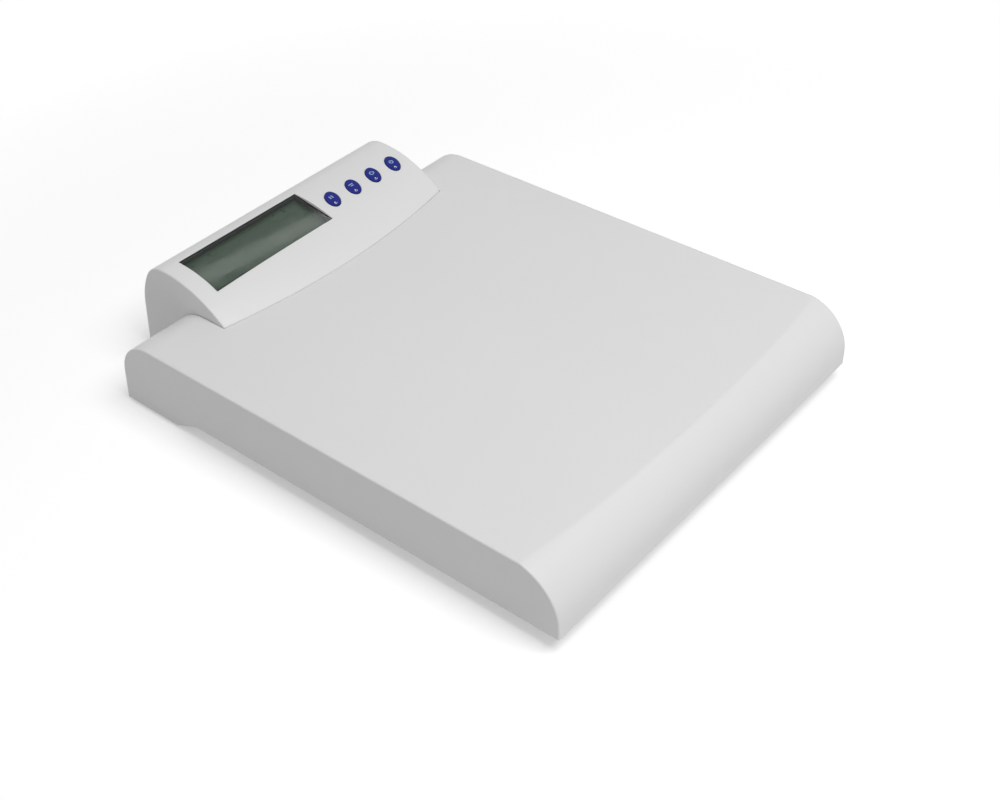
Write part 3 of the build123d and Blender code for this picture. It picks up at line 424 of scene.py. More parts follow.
def calc(tree, operation, *values):
    """A Math node."""
    return add(tree, "ShaderNodeMath", {"operation": operation},
               **{f"i{i}": value for i, value in enumerate(values)}).outputs[0]


def put(tree, x=0.0, y=0.0, z=0.0):
    """A vector from three values."""
    return add(tree, "ShaderNodeCombineXYZ", X=x, Y=y, Z=z).outputs[0]


# Materials

def shader(name):
    """A new material with its node tree and its shader."""
    material = bpy.data.materials.new(name)
    material.use_nodes = True
    return material, material.node_tree, material.node_tree.nodes["Principled BSDF"]


def dress(tree, bsdf, **inputs):
    """Set or link inputs of a shader, each named without its spaces."""
    for socket in bsdf.inputs:
        value = inputs.get(socket.name.replace(" ", "_"))
        if isinstance(value, bpy.types.NodeSocket):
            tree.links.new(value, socket)
        elif value is not None:
            socket.default_value = value


def object_place(tree, stretch=(1.0, 1.0, 1.0)):
    """Object coordinates, stretched where a pattern runs one way."""
    place = add(tree, "ShaderNodeTexCoord").outputs["Object"]
    return add(tree, "ShaderNodeMapping", Vector=place, Scale=stretch).outputs["Vector"]


def noise(tree, place, scale, detail=3.0, roughness=0.5):
    """Soft noise at a scale per metre."""
    return add(tree, "ShaderNodeTexNoise", Vector=place, Scale=scale, Detail=detail,
               Roughness=roughness).outputs["Fac"]


def mapped(tree, value, low, high, start=0.3, end=0.7):
    """A value spread between two limits."""
    return add(tree, "ShaderNodeMapRange", i0=value, i1=start, i2=end, i3=low, i4=high).outputs[0]


def blended(tree, value, one, other):
    """A colour between two, by a value."""
    mix = add(tree, "ShaderNodeMix", {"data_type": "RGBA"}, i0=value)
    for index, colour in ((6, one), (7, other)):
        if isinstance(colour, bpy.types.NodeSocket):
            tree.links.new(colour, mix.inputs[index])
        else:
            mix.inputs[index].default_value = (*colour, 1.0)
    return mix.outputs[2]


def raised(tree, height, depth, strength=1.0):
    """A normal that a pattern raises by a depth."""
    return add(tree, "ShaderNodeBump", Strength=strength, Distance=depth * MM, Height=height).outputs[0]


def board_mask(name):
    """Green solder mask over a pattern of tracks that stand up a little."""
    material, tree, bsdf = shader(name)
    place = object_place(tree)
    tracks = add(tree, "ShaderNodeTexBrick", {"offset": 0.5, "squash": 0.6}, Vector=place, Scale=110.0,
                 **{"Mortar Size": 0.03}).outputs["Fac"]
    broad = mapped(tree, noise(tree, place, 60.0), 0.0, 1.0)
    base = blended(tree, broad, (0.010, 0.085, 0.035), (0.014, 0.105, 0.042))
    dress(tree, bsdf, Base_Color=blended(tree, tracks, base, (0.03, 0.17, 0.07)), Roughness=0.28,
          Normal=raised(tree, tracks, 0.04, 0.6))
    return material


def battery_wrap(name):
    """Printed foil wrap of the cells, in two bands."""
    material, tree, bsdf = shader(name)
    place = object_place(tree)
    along = add(tree, "ShaderNodeSeparateXYZ", Vector=place).outputs["Y"]
    band = calc(tree, "GREATER_THAN", along, 0.212)
    speck = mapped(tree, noise(tree, place, 400.0), 0.0, 1.0)
    dark = blended(tree, speck, (0.05, 0.055, 0.06), (0.07, 0.075, 0.08))
    dress(tree, bsdf, Base_Color=blended(tree, band, dark, (0.45, 0.20, 0.05)), Roughness=0.30, Metallic=0.3)
    return material


def clear_sheet(name):
    """The clear window: see-through, with the reflections of a hard-coated sheet."""
    material, tree, bsdf = shader(name)
    tree.nodes.remove(bsdf)
    haze = mapped(tree, noise(tree, object_place(tree), 35.0), 0.048, 0.066)
    through = add(tree, "ShaderNodeBsdfTransparent", Color=(0.86, 0.88, 0.87, 1.0))
    gloss = add(tree, "ShaderNodeBsdfAnisotropic", Color=WHITE, Roughness=haze)
    fresnel = add(tree, "ShaderNodeFresnel", IOR=1.28)
    back = add(tree, "ShaderNodeNewGeometry").outputs["Backfacing"]
    share = calc(tree, "MULTIPLY", fresnel.outputs[0], calc(tree, "SUBTRACT", 1.0, back))
    mix = add(tree, "ShaderNodeMixShader", i0=share, i1=through.outputs[0], i2=gloss.outputs[0])
    tree.links.new(mix.outputs[0], tree.nodes["Material Output"].inputs["Surface"])
    return material


# Each finish: the record's slot; its tone, or the setting that holds it, alone or with a share of it;
# its second tone, or a share of the first; its roughness and how far that varies; patches per metre;
# width and height of the grain; and what else its shader takes. Three have makers of their own.
PRINT = (0.9, 0.5, 0.06, 900.0, 0.15, 0.004)
FINISHES = {
    # Matt mouldings with the faint spark-eroded grain of their moulds, coarser underneath
    "white_moulding": ("white_plastic", "shell", 0.985, 0.46, 0.05, 9.0, 0.45, 0.010, {"specular": 0.4}),
    "base_moulding": ("base_plastic", "base", 0.95, 0.55, 0.05, 12.0, 0.8, 0.03),
    "black_moulding": ("dark_plastic", (0.012, 0.012, 0.013), (0.018, 0.018, 0.019), 0.42, 0.08, 40.0,
                       0.5, 0.02),
    # Silky blue keys, and printed ink that is a little uneven
    "key_moulding": ("key_blue", "key", 0.86, 0.40, 0.05, 160.0, 0.3, 0.008, {"specular": 0.2}),
    "sign_ink_light": ("key_blue", (0.34, 0.50, 0.78), *PRINT),
    "sign_ink_white": ("key_blue", (0.78, 0.80, 0.84), *PRINT),
    # The grey-green display, its figures at rest and what lights it
    "clear_lens": ("lens", clear_sheet),
    "display_panel": ("lcd", "display", 0.88, 0.30, 0.04, 26.0, 0.3, 0.003),
    "resting_figures": ("lcd", ("display", 0.80), *PRINT),
    "light_guide": (None, (0.75, 0.78, 0.74), (0.70, 0.74, 0.70), 0.2, 0.04, 14.0, 0.5, 0.012),
    # Powder coat with a slight orange peel, zinc with a faint yellow cast, aluminium brushed one way
    "powder_coat": ("frame_steel", "frame", 0.9, 0.48, 0.07, 22.0, 1.6, 0.05),
    "zinc_plating": ("plated_steel", (0.66, 0.67, 0.68), (0.60, 0.58, 0.52), 0.30, 0.08, 220.0, 0.35,
                     0.006, {"metallic": 1.0}),
    "milled_aluminium": ("cell_aluminium", (0.70, 0.71, 0.72), (0.62, 0.63, 0.64), 0.34, 0.08, 60.0,
                         0.25, 0.012, {"metallic": 1.0, "stretch": (1.0, 0.06, 1.0)}),
    # Dusty pitted rubber, sealing compound, chips, boards and cells
    "foot_rubber": ("foot_rubber", (0.020, 0.020, 0.021), (0.040, 0.039, 0.037), 0.78, 0.08, 70.0, 0.7,
                    0.05, {"specular": 0.3}),
    "gauge_seal": (None, (0.62, 0.62, 0.60), (0.54, 0.54, 0.52), 0.35, 0.08, 120.0, 1.2, 0.08),
    "chip_resin": (None, (0.018, 0.018, 0.020), (0.030, 0.030, 0.032), 0.5, 0.08, 300.0, 0.3, 0.02),
    "solder_mask": (None, board_mask),
    "cell_wrap": (None, battery_wrap),
}


@functools.cache
def finish(name):
    """The material of a named finish."""
    tone, *values = FINISHES[name][1:]
    if callable(tone):
        return tone(name)
    return grained(name, tone, *values[:6], **dict(*values[6:]))


def grained(name, tone, second, roughness, spread, patch, grain, depth=0.0, metallic=0.0, specular=0.5,
            stretch=(1.0, 1.0, 1.0)):
    """Two close tones in broad patches, a varied sheen and a fine raised grain of a real size."""
    colours = bpy.context.scene.scale_colours
    if isinstance(tone, str):
        tone = tuple(getattr(colours, tone))
    elif isinstance(tone[0], str):
        tone = tuple(c * tone[1] for c in getattr(colours, tone[0]))
    if not isinstance(second, tuple):
        second = tuple(c * second for c in tone)
    material, tree, bsdf = shader(name)
    place = object_place(tree, stretch)
    broad = mapped(tree, noise(tree, place, patch), 0.0, 1.0)
    sheen = mapped(tree, noise(tree, place, patch * 9.0, 2.0), roughness - spread, roughness + spread)
    fine = noise(tree, place, 1.0 / (grain * MM), 2.0, 0.6)
    dress(tree, bsdf, Base_Color=blended(tree, broad, tone, second), Roughness=sheen,
          Normal=raised(tree, fine, depth), Metallic=metallic, Specular_IOR_Level=specular)
    return material


# Shells that are moulded in one piece

def shell_layers(stations, rows, edge_r, rim_r, lip_r, outer_at, inner_at):
    """Outer and inner points of a shell by station and row, with its ends, rim and lips rounded."""
    outer, inner = [], []
    for x, turn, inner_x, across in stations:
        lean = math.radians(turn)
        column = []
        for row in rows:
            _, _, drop, along = row
            reach = edge_r - drop * rim_r
            dip = lip_r * (1 - math.sqrt(1 - (1 - max(across, along)) ** 2))
            point = outer_at(x, row, edge_r - reach * math.cos(lean), dip)
            point.x = x + reach * math.sin(lean)
            column.append(point)
        outer.append(column)
        inner.append([inner_at(inner_x, row) for row in rows])
    return outer, inner


def rim(surface, outer, inner, j, i):
    """The rim between two stations at one row."""
    surface.strip((outer[j][i], outer[j + 1][i]), (inner[j][i], inner[j + 1][i]))


def end_wall(surface, half, wall, outer, inner, line, lift):
    """The flat end of an open shell: its outer and inner faces and the rounded edge between them."""
    side = math.copysign(1.0, outer[0].x)
    count = len(ROUND)
    levels = []
    for k, (out, drop) in enumerate(reversed(ROUND)):
        level = [Vector((side * (half - lift * drop), y, z + lift * out)) for y, z in line]
        levels.append([outer[k]] + level + [outer[len(outer) - 1 - k]])
    surface.strip(*levels)
    surface.face(outer[count - 1:len(outer) - count + 1] + levels[-1][-2:0:-1])
    low = [inner[0]] + [Vector((side * (half - wall), y, z)) for y, z in line] + [inner[-1]]
    surface.strip(levels[0], low)
    surface.face(inner + low[-2:0:-1])


# Platform cover

def deck_z(x, y):
    """Height of the deck: level at the sides and the rear, sunk in a shallow trough to the front."""
    across = DISH_R - math.sqrt(DISH_R ** 2 - x ** 2)
    sunk = DECK_Z - DISH_SAG + (y - NOSE_Y) * DISH_SLOPE + across
    soft = 0.25
    return (DECK_Z + sunk - math.sqrt((DECK_Z - sunk) ** 2 + soft ** 2)) / 2


@functools.cache
def crease(x, inset):
    """Where the nose meets the deck, and the angle of the nose there."""
    radius = NOSE_R - inset

    def height_over(y):
        return NOSE_Z + math.sqrt(radius ** 2 - (y - NOSE_Y) ** 2) - (deck_z(x, y) - inset)

    y = solve(height_over, 0.0, NOSE_Y - radius, NOSE_Y)
    return y, math.degrees(math.acos((y - NOSE_Y) / radius))


def notch_y(x):
    """Front edge of the notch for the console, bowed forward in the middle."""
    return CREST_Y - TOE_RUN - SEAM - TOE_BOW * max(0.0, 1 - (x / NOTCH_HALF) ** 2)


def rear_round():
    """Centre of the rounding over the rear wall."""
    z = DECK_Z - REAR_R
    lean = math.radians(DRAFT)
    return REAR_Y - (z + REAR_R * math.sin(lean) - LEG_Z) * math.tan(lean) - REAR_R * math.cos(lean), z


def cover_rows(lip):
    """Rows from the front skirt to the rear foot: kind, place, turn of the rim and share of the lip."""
    rows = [("front", SKIRT_Z + lip * out, drop, 1.0) for out, drop in reversed(ROUND)]
    rows.append(("front", between(SKIRT_Z, NOSE_Z, 0.5), 0.0, 1.0))
    rows += [("nose", s, 0.0, 1.0) for s in steps(24)]
    rows += [("crease", s, 0.0, 1.0) for s in steps(4)[1:-1]]
    rows += [("deck", s, 0.0, 1.0) for s in steps(30)]
    rows += [("lip", out, 0.0, out) for out, _ in ROUND]
    for kind, count in (("side", 4), ("rear", 14), ("wall", 2)):
        rows += [(kind, s, 0.0, 0.0) for s in steps(count, 1)]
    return rows + [("heel", LEG_Z + lip * out, drop, 0.0) for out, drop in ROUND[1:]]


def cover_stations(wall, edge, lip):
    """Stations across the cover: outer place, turn of the rounded edge, inner place and lip share."""
    right = [(NOTCH_HALF - 4.0, 0.0, NOTCH_HALF - 4.0, 0.0)]
    right += [(NOTCH_HALF + lip * out, 0.0, NOTCH_HALF + FLANGE_T + lip * out, out)
              for out, _ in reversed(ROUND)]
    outside = [NOTCH_HALF + further for further in (6.0, 16.0, 28.0, 40.0, 50.0)] + [HALF_W - wall]
    right += [(x, 0.0, x, 1.0) for x in outside]
    right += [(HALF_W - edge, turn, HALF_W - wall, 1.0) for turn in QUARTER]
    reach = NOTCH_HALF - 9.0
    middle = [(between(-reach, reach, s), 0.0, between(-reach, reach, s), 0.0) for s in steps(26)]
    return [(-x, -turn, -inner_x, out) for x, turn, inner_x, out in reversed(right)] + middle + right


def cover_point(x, row, inset, setback, lip):
    """A point of the cover's side view, a depth inside its skin, with the notch's edge set back."""
    kind, value = row[:2]
    edge = notch_y(x) - setback
    if kind == "front":
        return FRONT_Y + inset, value
    if kind in ("nose", "crease", "deck", "lip"):
        y, angle = crease(x, inset)
        radius = NOSE_R - inset
        tangent = angle + math.degrees(NOSE_BEND / radius)
        if kind == "nose":
            return arc_at(NOSE_Y, NOSE_Z, radius, between(180.0, tangent, value))
        after = (y + NOSE_BEND, deck_z(x, y + NOSE_BEND) - inset)
        if kind == "crease":
            before = arc_at(NOSE_Y, NOSE_Z, radius, tangent)
            return bent(before, (y, deck_z(x, y) - inset), after, value)
        row_y = between(after[0], edge - lip, value) if kind == "deck" else edge - lip * value
        return row_y, deck_z(x, row_y) - inset
    centre = rear_round()
    if kind == "side":
        row_y = between(edge, centre[0], value)
        return row_y, deck_z(x, row_y) - inset
    if kind == "rear":
        return arc_at(*centre, REAR_R - inset, between(90.0, DRAFT, value))
    y, top = arc_at(*centre, REAR_R - inset, DRAFT)
    z = between(top, LEG_Z + lip, value) if kind == "wall" else value
    return y + (top - z) * math.tan(math.radians(DRAFT)), z


def skirt_line():
    """Lower edge of the cover's side from the front to the rear leg, without its two ends."""
    turn = RAMP_R * math.tan(math.radians(RAMP_ANGLE / 2))
    ramp_y = LEG_FRONT - (SKIRT_Z - LEG_Z) / math.tan(math.radians(RAMP_ANGLE)) - turn
    line = [(between(FRONT_Y + SKIRT_END, ramp_y, s), SKIRT_Z) for s in steps(7)]
    line += [arc_at(ramp_y, SKIRT_Z - RAMP_R, RAMP_R, between(90.0, 90.0 - RAMP_ANGLE, s))
             for s in steps(8, 1)]
    return line + [(between(LEG_FRONT, REAR_Y - SKIRT_END, s), LEG_Z) for s in steps(2)]


def make_cover():
    """The platform's moulded cover as one closed shell."""
    sizes = bpy.context.scene.scale_shell
    wall, edge, lip = sizes.cover_wall / MM, sizes.cover_edge / MM, sizes.lip / MM
    rows = cover_rows(lip)
    stations = cover_stations(wall, edge, lip)
    outer, inner = shell_layers(
        stations, rows, edge, lip, lip,
        lambda x, row, inset, dip: Vector((x, *cover_point(x, row, inset + dip, 0.0, lip))),
        lambda x, row: Vector((x, *cover_point(x, row, wall, FLANGE_T, lip))))
    last_lip = max(i for i, row in enumerate(rows) if row[0] == "lip")
    inside = [j for j, station in enumerate(stations) if abs(station[0]) < NOTCH_HALF + MERGE]
    surface = Surface()
    for j in range(len(stations) - 1):
        last = last_lip + 1 if j in inside and j + 1 in inside else len(rows)
        for layer in (outer, inner):
            surface.strip(layer[j][:last], layer[j + 1][:last])
        rim(surface, outer, inner, j, 0)
        if last == len(rows):
            rim(surface, outer, inner, j, -1)

    flange_z = DECK_Z - FLANGE_H
    flange = [(outer[j][last_lip], inner[j][last_lip]) for j in inside]
    surface.strip(*([one, Vector((*one.xy, flange_z)), Vector((*other.xy, flange_z)), other]
                    for one, other in flange))
    for j in (inside[0], inside[-1]):
        lines = []
        for i in range(last_lip, len(rows)):
            kind, value = rows[i][:2]
            depth = FLANGE_H if kind in ("lip", "side") else wall + FLANGE_LEAST
            if kind == "rear":
                depth = max(depth, FLANGE_H * (1 - 1.5 * value))
            line = []
            for point, setback in ((outer[j][i], 0.0), (inner[j][i], FLANGE_T)):
                y, z = cover_point(point.x, rows[i], depth, setback, lip)
                line.append(Vector((point.x, y, flange_z if i == last_lip else z)))
            lines.append([outer[j][i], *line, inner[j][i]])
        surface.strip(*lines)
        surface.face(lines[-1])
    for j in (0, -1):
        end_wall(surface, HALF_W, wall, outer[j], inner[j], skirt_line(), lip)
    weighted(surface.build("platform_shell", "platform", "white_moulding", "platform_cover"))


# Geometry Nodes

def node_group(name, *sizes):
    """A Geometry Nodes tree with named inputs for its sizes and its material."""
    tree = bpy.data.node_groups.new(name, "GeometryNodeTree")
    for label, kind in (("Geometry", "Geometry"), *((size, "Float") for size in sizes),
                        ("Material", "Material")):
        tree.interface.new_socket(label, in_out="INPUT", socket_type=f"NodeSocket{kind}")
    tree.interface.new_socket("Geometry", in_out="OUTPUT", socket_type="NodeSocketGeometry")
    return tree, tree.nodes.new("NodeGroupInput").outputs


def realized(tree, geometry):
    """Instances as real geometry."""
    return add(tree, "GeometryNodeRealizeInstances", Geometry=geometry).outputs[0]


def end_group(tree, given, geometry):
    """Close a tree with real geometry and its material."""
    done = add(tree, "GeometryNodeSetMaterial", Geometry=realized(tree, geometry),
               Material=given["Material"]).outputs[0]
    tree.links.new(done, tree.nodes.new("NodeGroupOutput").inputs[0])


def spread_out(tree, given, shape, axis="Z"):
    """A shape on every point, with one of its axes along the point's own."""
    own = add(tree, "GeometryNodeInputNamedAttribute", {"data_type": "FLOAT_VECTOR"}, Name="axis").outputs[0]
    turn = add(tree, "FunctionNodeAlignRotationToVector", {"axis": axis}, Vector=own).outputs[0]
    return add(tree, "GeometryNodeInstanceOnPoints", Points=given["Geometry"], Instance=shape,
               Rotation=turn).outputs[0]


def position(tree):
    """The coordinates of a tree's points."""
    place = add(tree, "GeometryNodeInputPosition").outputs[0]
    return add(tree, "ShaderNodeSeparateXYZ", Vector=place).outputs


def lifted(tree, shape, rise):
    """A shape moved along Z."""
    return add(tree, "GeometryNodeTransform", Geometry=shape, Translation=put(tree, z=rise)).outputs[0]


def grown(name, tree, arrows, values):
    """The mesh that a tree grows from points, each with its own axis."""
    seed = bpy.data.meshes.new(f"{name}_points")
    seed.from_pydata([Vector(point) * MM for point, _ in arrows], [], [])
    attribute = seed.attributes.new("axis", "FLOAT_VECTOR", "POINT")
    attribute.data.foreach_set("vector", [c for _, axis in arrows for c in axis])
    holder = linked(f"{name}_seed", seed)
    modifier = holder.modifiers.new("Grow", "NODES")
    modifier.node_group = tree
    for item in tree.interface.items_tree:
        if item.in_out == "INPUT" and item.name in values:
            modifier[item.identifier] = values[item.name]
    graph = bpy.context.evaluated_depsgraph_get()
    mesh = bpy.data.meshes.new_from_object(holder.evaluated_get(graph))
    bpy.data.objects.remove(holder)
    bpy.data.meshes.remove(seed)
    if not mesh.polygons:
        raise RuntimeError(f"{name} came out empty")
    return mesh


def rib_tree():
    """Ribs: blocks on points, with their tops laid into the dished deck and the rear rounding."""
    tree, given = node_group("Deck ribs", "Length", "Thickness", "Low", "Sink")
    less, times = (functools.partial(calc, tree, kind) for kind in ("SUBTRACT", "MULTIPLY"))
    block = 0.02
    cube = add(tree, "GeometryNodeMeshCube", Size=put(tree, given["Length"], given["Thickness"], block),
               **{"Vertices X": 37})
    rib = lifted(tree, cube.outputs["Mesh"], block / 2)
    ribs = realized(tree, spread_out(tree, given, rib, "X"))
    x, y, z = position(tree)
    radius = DISH_R * MM
    across = less(radius, calc(tree, "SQRT", less(radius ** 2, times(x, x))))
    along = calc(tree, "MULTIPLY_ADD", less(y, NOSE_Y * MM), DISH_SLOPE, (DECK_Z - DISH_SAG) * MM)
    dished = calc(tree, "MINIMUM", calc(tree, "ADD", across, along), DECK_Z * MM)
    centre_y, centre_z = rear_round()
    behind = calc(tree, "MAXIMUM", less(y, centre_y * MM), 0.0)
    over = less((REAR_R * MM) ** 2, times(behind, behind))
    rear = calc(tree, "ADD", calc(tree, "SQRT", over), centre_z * MM)
    top = less(calc(tree, "MINIMUM", dished, rear), given["Sink"])
    high = calc(tree, "GREATER_THAN", z, block / 2)
    height = calc(tree, "ADD", times(high, less(top, given["Low"])), given["Low"])
    moved = add(tree, "GeometryNodeSetPosition", Geometry=ribs, Position=put(tree, x, y, height))
    end_group(tree, given, moved.outputs[0])
    return tree


def boss_places():
    """Screw bosses of the cover."""
    return [(side * 2 * RIB_PITCH, y) for side in SIDES for y in BOSS_Y]


def make_ribs():
    """The grid of ribs under the deck, grown by one tree for each length of rib, and the bosses."""
    sizes = bpy.context.scene.scale_shell
    wall = sizes.cover_wall / MM
    tree = rib_tree()
    values = {"Thickness": sizes.rib_thickness, "Low": RIB_Z * MM, "Sink": sizes.cover_wall / 2,
              "Material": finish("white_moulding")}
    rows = [((0, RIB_FRONT + i * RIB_PITCH, 0), (1, 0, 0)) for i in range(8)]
    meshes = [grown("rows", tree, rows, dict(values, Length=2 * (HALF_W - wall + 0.5) * MM))]
    front = RIB_FRONT - RIB_PITCH / 2
    for i in range(-4, 5):
        x = i * RIB_PITCH
        rear = notch_y(x) - 1.0 if abs(x) < HALF_CONSOLE else REAR_Y - 21.0
        meshes.append(grown("column", tree, [((x, (front + rear) / 2, 0), (0, 1, 0))],
                            dict(values, Length=(rear - front) * MM)))
    bosses = Surface()
    for x, y in boss_places():
        top = deck_z(x, y) - wall / 2
        bosses.turned(((0, RIB_Z), (BOSS_R, RIB_Z), (BOSS_R, top), (0, top)), (x, y), 28)
    shape = bmesh.new()
    for mesh in meshes + [bosses.mesh("bosses")]:
        shape.from_mesh(mesh)
        bpy.data.meshes.remove(mesh)
    mesh = bpy.data.meshes.new("deck_ribs")
    shape.to_mesh(mesh)
    shape.free()
    settle("deck_ribs", mesh, "platform", "white_moulding")


# Console

def section(share, inset, s, low):
    """A point of the console's side view: 0 at the toe, 1 at the crest, then the crest, back and wall."""
    if s <= 1:
        run, rise = TOE_RUN + TOE_BOW * share, CREST_Z - DECK_Z
        full = (run ** 2 + rise ** 2) / (2 * rise)
        radius = full - inset
        toe = math.degrees(math.acos((inset - run) / radius))
        return arc_at(CREST_Y, CREST_Z - full, radius, between(toe, 90.0, s))
    if s <= 2:
        return arc_at(CREST_Y, CREST_Z - CREST_R, CREST_R - inset, 90.0 - CREST_TURN * (s - 1))
    turn = 90.0 - CREST_TURN
    centre = arc_at(CREST_Y, CREST_Z - CREST_R, CREST_R - BACK_R, turn)
    if s <= 3:
        return arc_at(*centre, BACK_R - inset, between(turn, DRAFT, s - 2))
    y, z = arc_at(*centre, BACK_R - inset, DRAFT)
    height = between(z, low, s - 3)
    return y + (z - height) * math.tan(math.radians(DRAFT)), height


def console_point(x, s, inset, half, low=RIM_Z):
    """A point of the console's skin, a depth inside it."""
    share = max(0.0, 1 - (x / half) ** 2)
    return Vector((x, *between(section(0.0, inset, s, low), section(1.0, inset, s, low), share)))


def face_s(plane, x, v, inset, half):
    """Share of the console's side view at a height up a sloped plane."""
    return solve(lambda s: plane.rise(console_point(x, s, inset, half)), v, 0.0, 2.0)


def level(plane, x, v, inset, half):
    """A point of the console's face at a height up a sloped plane."""
    return console_point(x, face_s(plane, x, v, inset, half), inset, half)


def wall_s(z, inset):
    """Share of the console's side view at a height of its rear wall."""
    top = section(0.0, inset, 3.0, RIM_Z)[1]
    return 3 + (top - z) / (top - RIM_Z)


def console_rows(lip, rim_r):
    """Rows from the console's front rim over its face to its rear rim, laid out as the cover's are."""
    rows = [("front", RIM_Z + rim_r * out, drop, 1.0) for out, drop in reversed(ROUND)]
    rows += [("front", z, 0.0, 1.0) for z in (30.0, 50.0, 62.0, DECK_Z - TOE_DROP)]
    rows += [("toe", s, 0.0, 1.0) for s in steps(5, 1)]
    rows += [("run", s, 0.0, 1.0) for s in steps(9)[1:-1]]
    rows += [("low", out * lip, 0.0, out) for out, _ in ROUND]
    rows += [("low_mid", 0.5, 0.0, 0.0)]
    rows += [("keys", between(-KEY_REACH, KEY_REACH, s), 0.0, 0.0) for s in steps(12)]
    rows += [("high_mid", s, 0.0, 0.0) for s in steps(5)[1:-1]]
    rows += [("high", out * lip, 0.0, out) for out, _ in reversed(ROUND)]
    rows += [("crest", s, 0.0, 1.0) for s in steps(9, 1)]
    rows += [("back", 2 + s, 0.0, 1.0) for s in steps(8, 1)]
    rows += [("wall", z, 0.0, 1.0) for z in (42.0, *INLET_ROWS, 14.0)]
    return rows + [("wall", RIM_Z + rim_r * out, drop, 1.0) for out, drop in ROUND]


def console_stations(wall, edge, lip):
    """Stations across the console, laid out as the cover's are."""
    left, right = WINDOW_X - WINDOW_W / 2, WINDOW_X + WINDOW_W / 2
    lap = POCKET_LAP
    stations = [(-HALF_CONSOLE + edge, -turn, -HALF_CONSOLE + wall, 1.0) for turn in reversed(QUARTER)]
    stations += [(x, 0.0, x, 1.0) for x in (-HALF_CONSOLE + 4.0, left - 7.0)]
    stations += [(left - lip * out, 0.0, left - lap - lip * out, out) for out, _ in ROUND]
    stations += [(between(left, right, s), 0.0, between(left - lap, right + lap, s), 0.0)
                 for s in steps(24)[1:-1]]
    stations += [(right + lip * out, 0.0, right + lap + lip * out, out) for out, _ in reversed(ROUND)]
    first, last = KEY_X[0] - KEY_PITCH / 2, KEY_X[-1] + KEY_PITCH / 2
    keys = [between(first, last, s) for s in steps(KEY_COLUMNS * len(KEY_NAMES))]
    stations += [(x, 0.0, x, 1.0) for x in keys]
    return stations + [(HALF_CONSOLE - edge, turn, HALF_CONSOLE - wall, 1.0) for turn in QUARTER]


def console_row(x, row, inset, half, lap, lip):
    """One row's point on the console's skin at one station."""
    kind, value = row[:2]
    low, high = -WINDOW_H / 2 - lap, WINDOW_H / 2 + lap

    def skin(s):
        return console_point(x, s, inset, half)

    def up(plane, v):
        return face_s(plane, x, v, inset, half)

    if kind == "front":
        return Vector((x, skin(0.0).y, value))
    if kind == "toe":
        corner = tuple(skin(0.0).yz)
        return Vector((x, *bent((corner[0], DECK_Z - TOE_DROP), corner, tuple(skin(TOE_BEND).yz), value)))
    if kind == "wall":
        return skin(wall_s(value, inset))
    if kind == "back":
        return skin(value)
    if kind == "run":
        return skin(between(TOE_BEND, up(WINDOW, low - lip), value))
    if kind == "low":
        return skin(up(WINDOW, low - value))
    if kind == "low_mid":
        return skin(between(up(WINDOW, low), up(KEYS, -KEY_REACH), value))
    if kind == "keys":
        return skin(up(KEYS, value))
    if kind == "high_mid":
        return skin(between(up(KEYS, KEY_REACH), up(WINDOW, high), value))
    if kind == "high":
        return skin(up(WINDOW, high + value))
    return skin(between(up(WINDOW, high + lip), 2.0, value))


def ring_of(layer, j0, j1, i0, i1):
    """The grid's points round a block of cells, in order."""
    ring = [layer[j][i0] for j in range(j0, j1)] + [layer[j1][i] for i in range(i0, i1)]
    return ring + [layer[j][i1] for j in range(j1, j0, -1)] + [layer[j0][i] for i in range(i1, i0, -1)]


def hole(surface, ring, coords, target, put_at, lip):
    """Rings from a block's edge to an oval hole, with a rounded lip, laid on the skin by a function."""
    middle, half, block, lean = target
    spots = [coords(point) for point in ring]
    angles = [math.atan2((v - middle[1]) / block[1], (x - middle[0]) / block[0]) + lean for x, v in spots]

    def oval(out):
        around = [oval_spot(half[0] + out, half[1] + out, angle, lean) for angle in angles]
        return [(middle[0] + x, middle[1] + v) for x, v in around]

    rings = [ring]
    edge = oval(lip)
    for share in steps(5, 1):
        rings.append([put_at(*between(p, q, share), 0.0) for p, q in zip(spots, edge)])
    if lip:
        for out, drop in ROUND[1:]:
            rings.append([put_at(x, v, drop * lip) for x, v in oval(out * lip)])
    surface.loop(*rings)
    return rings[-1]


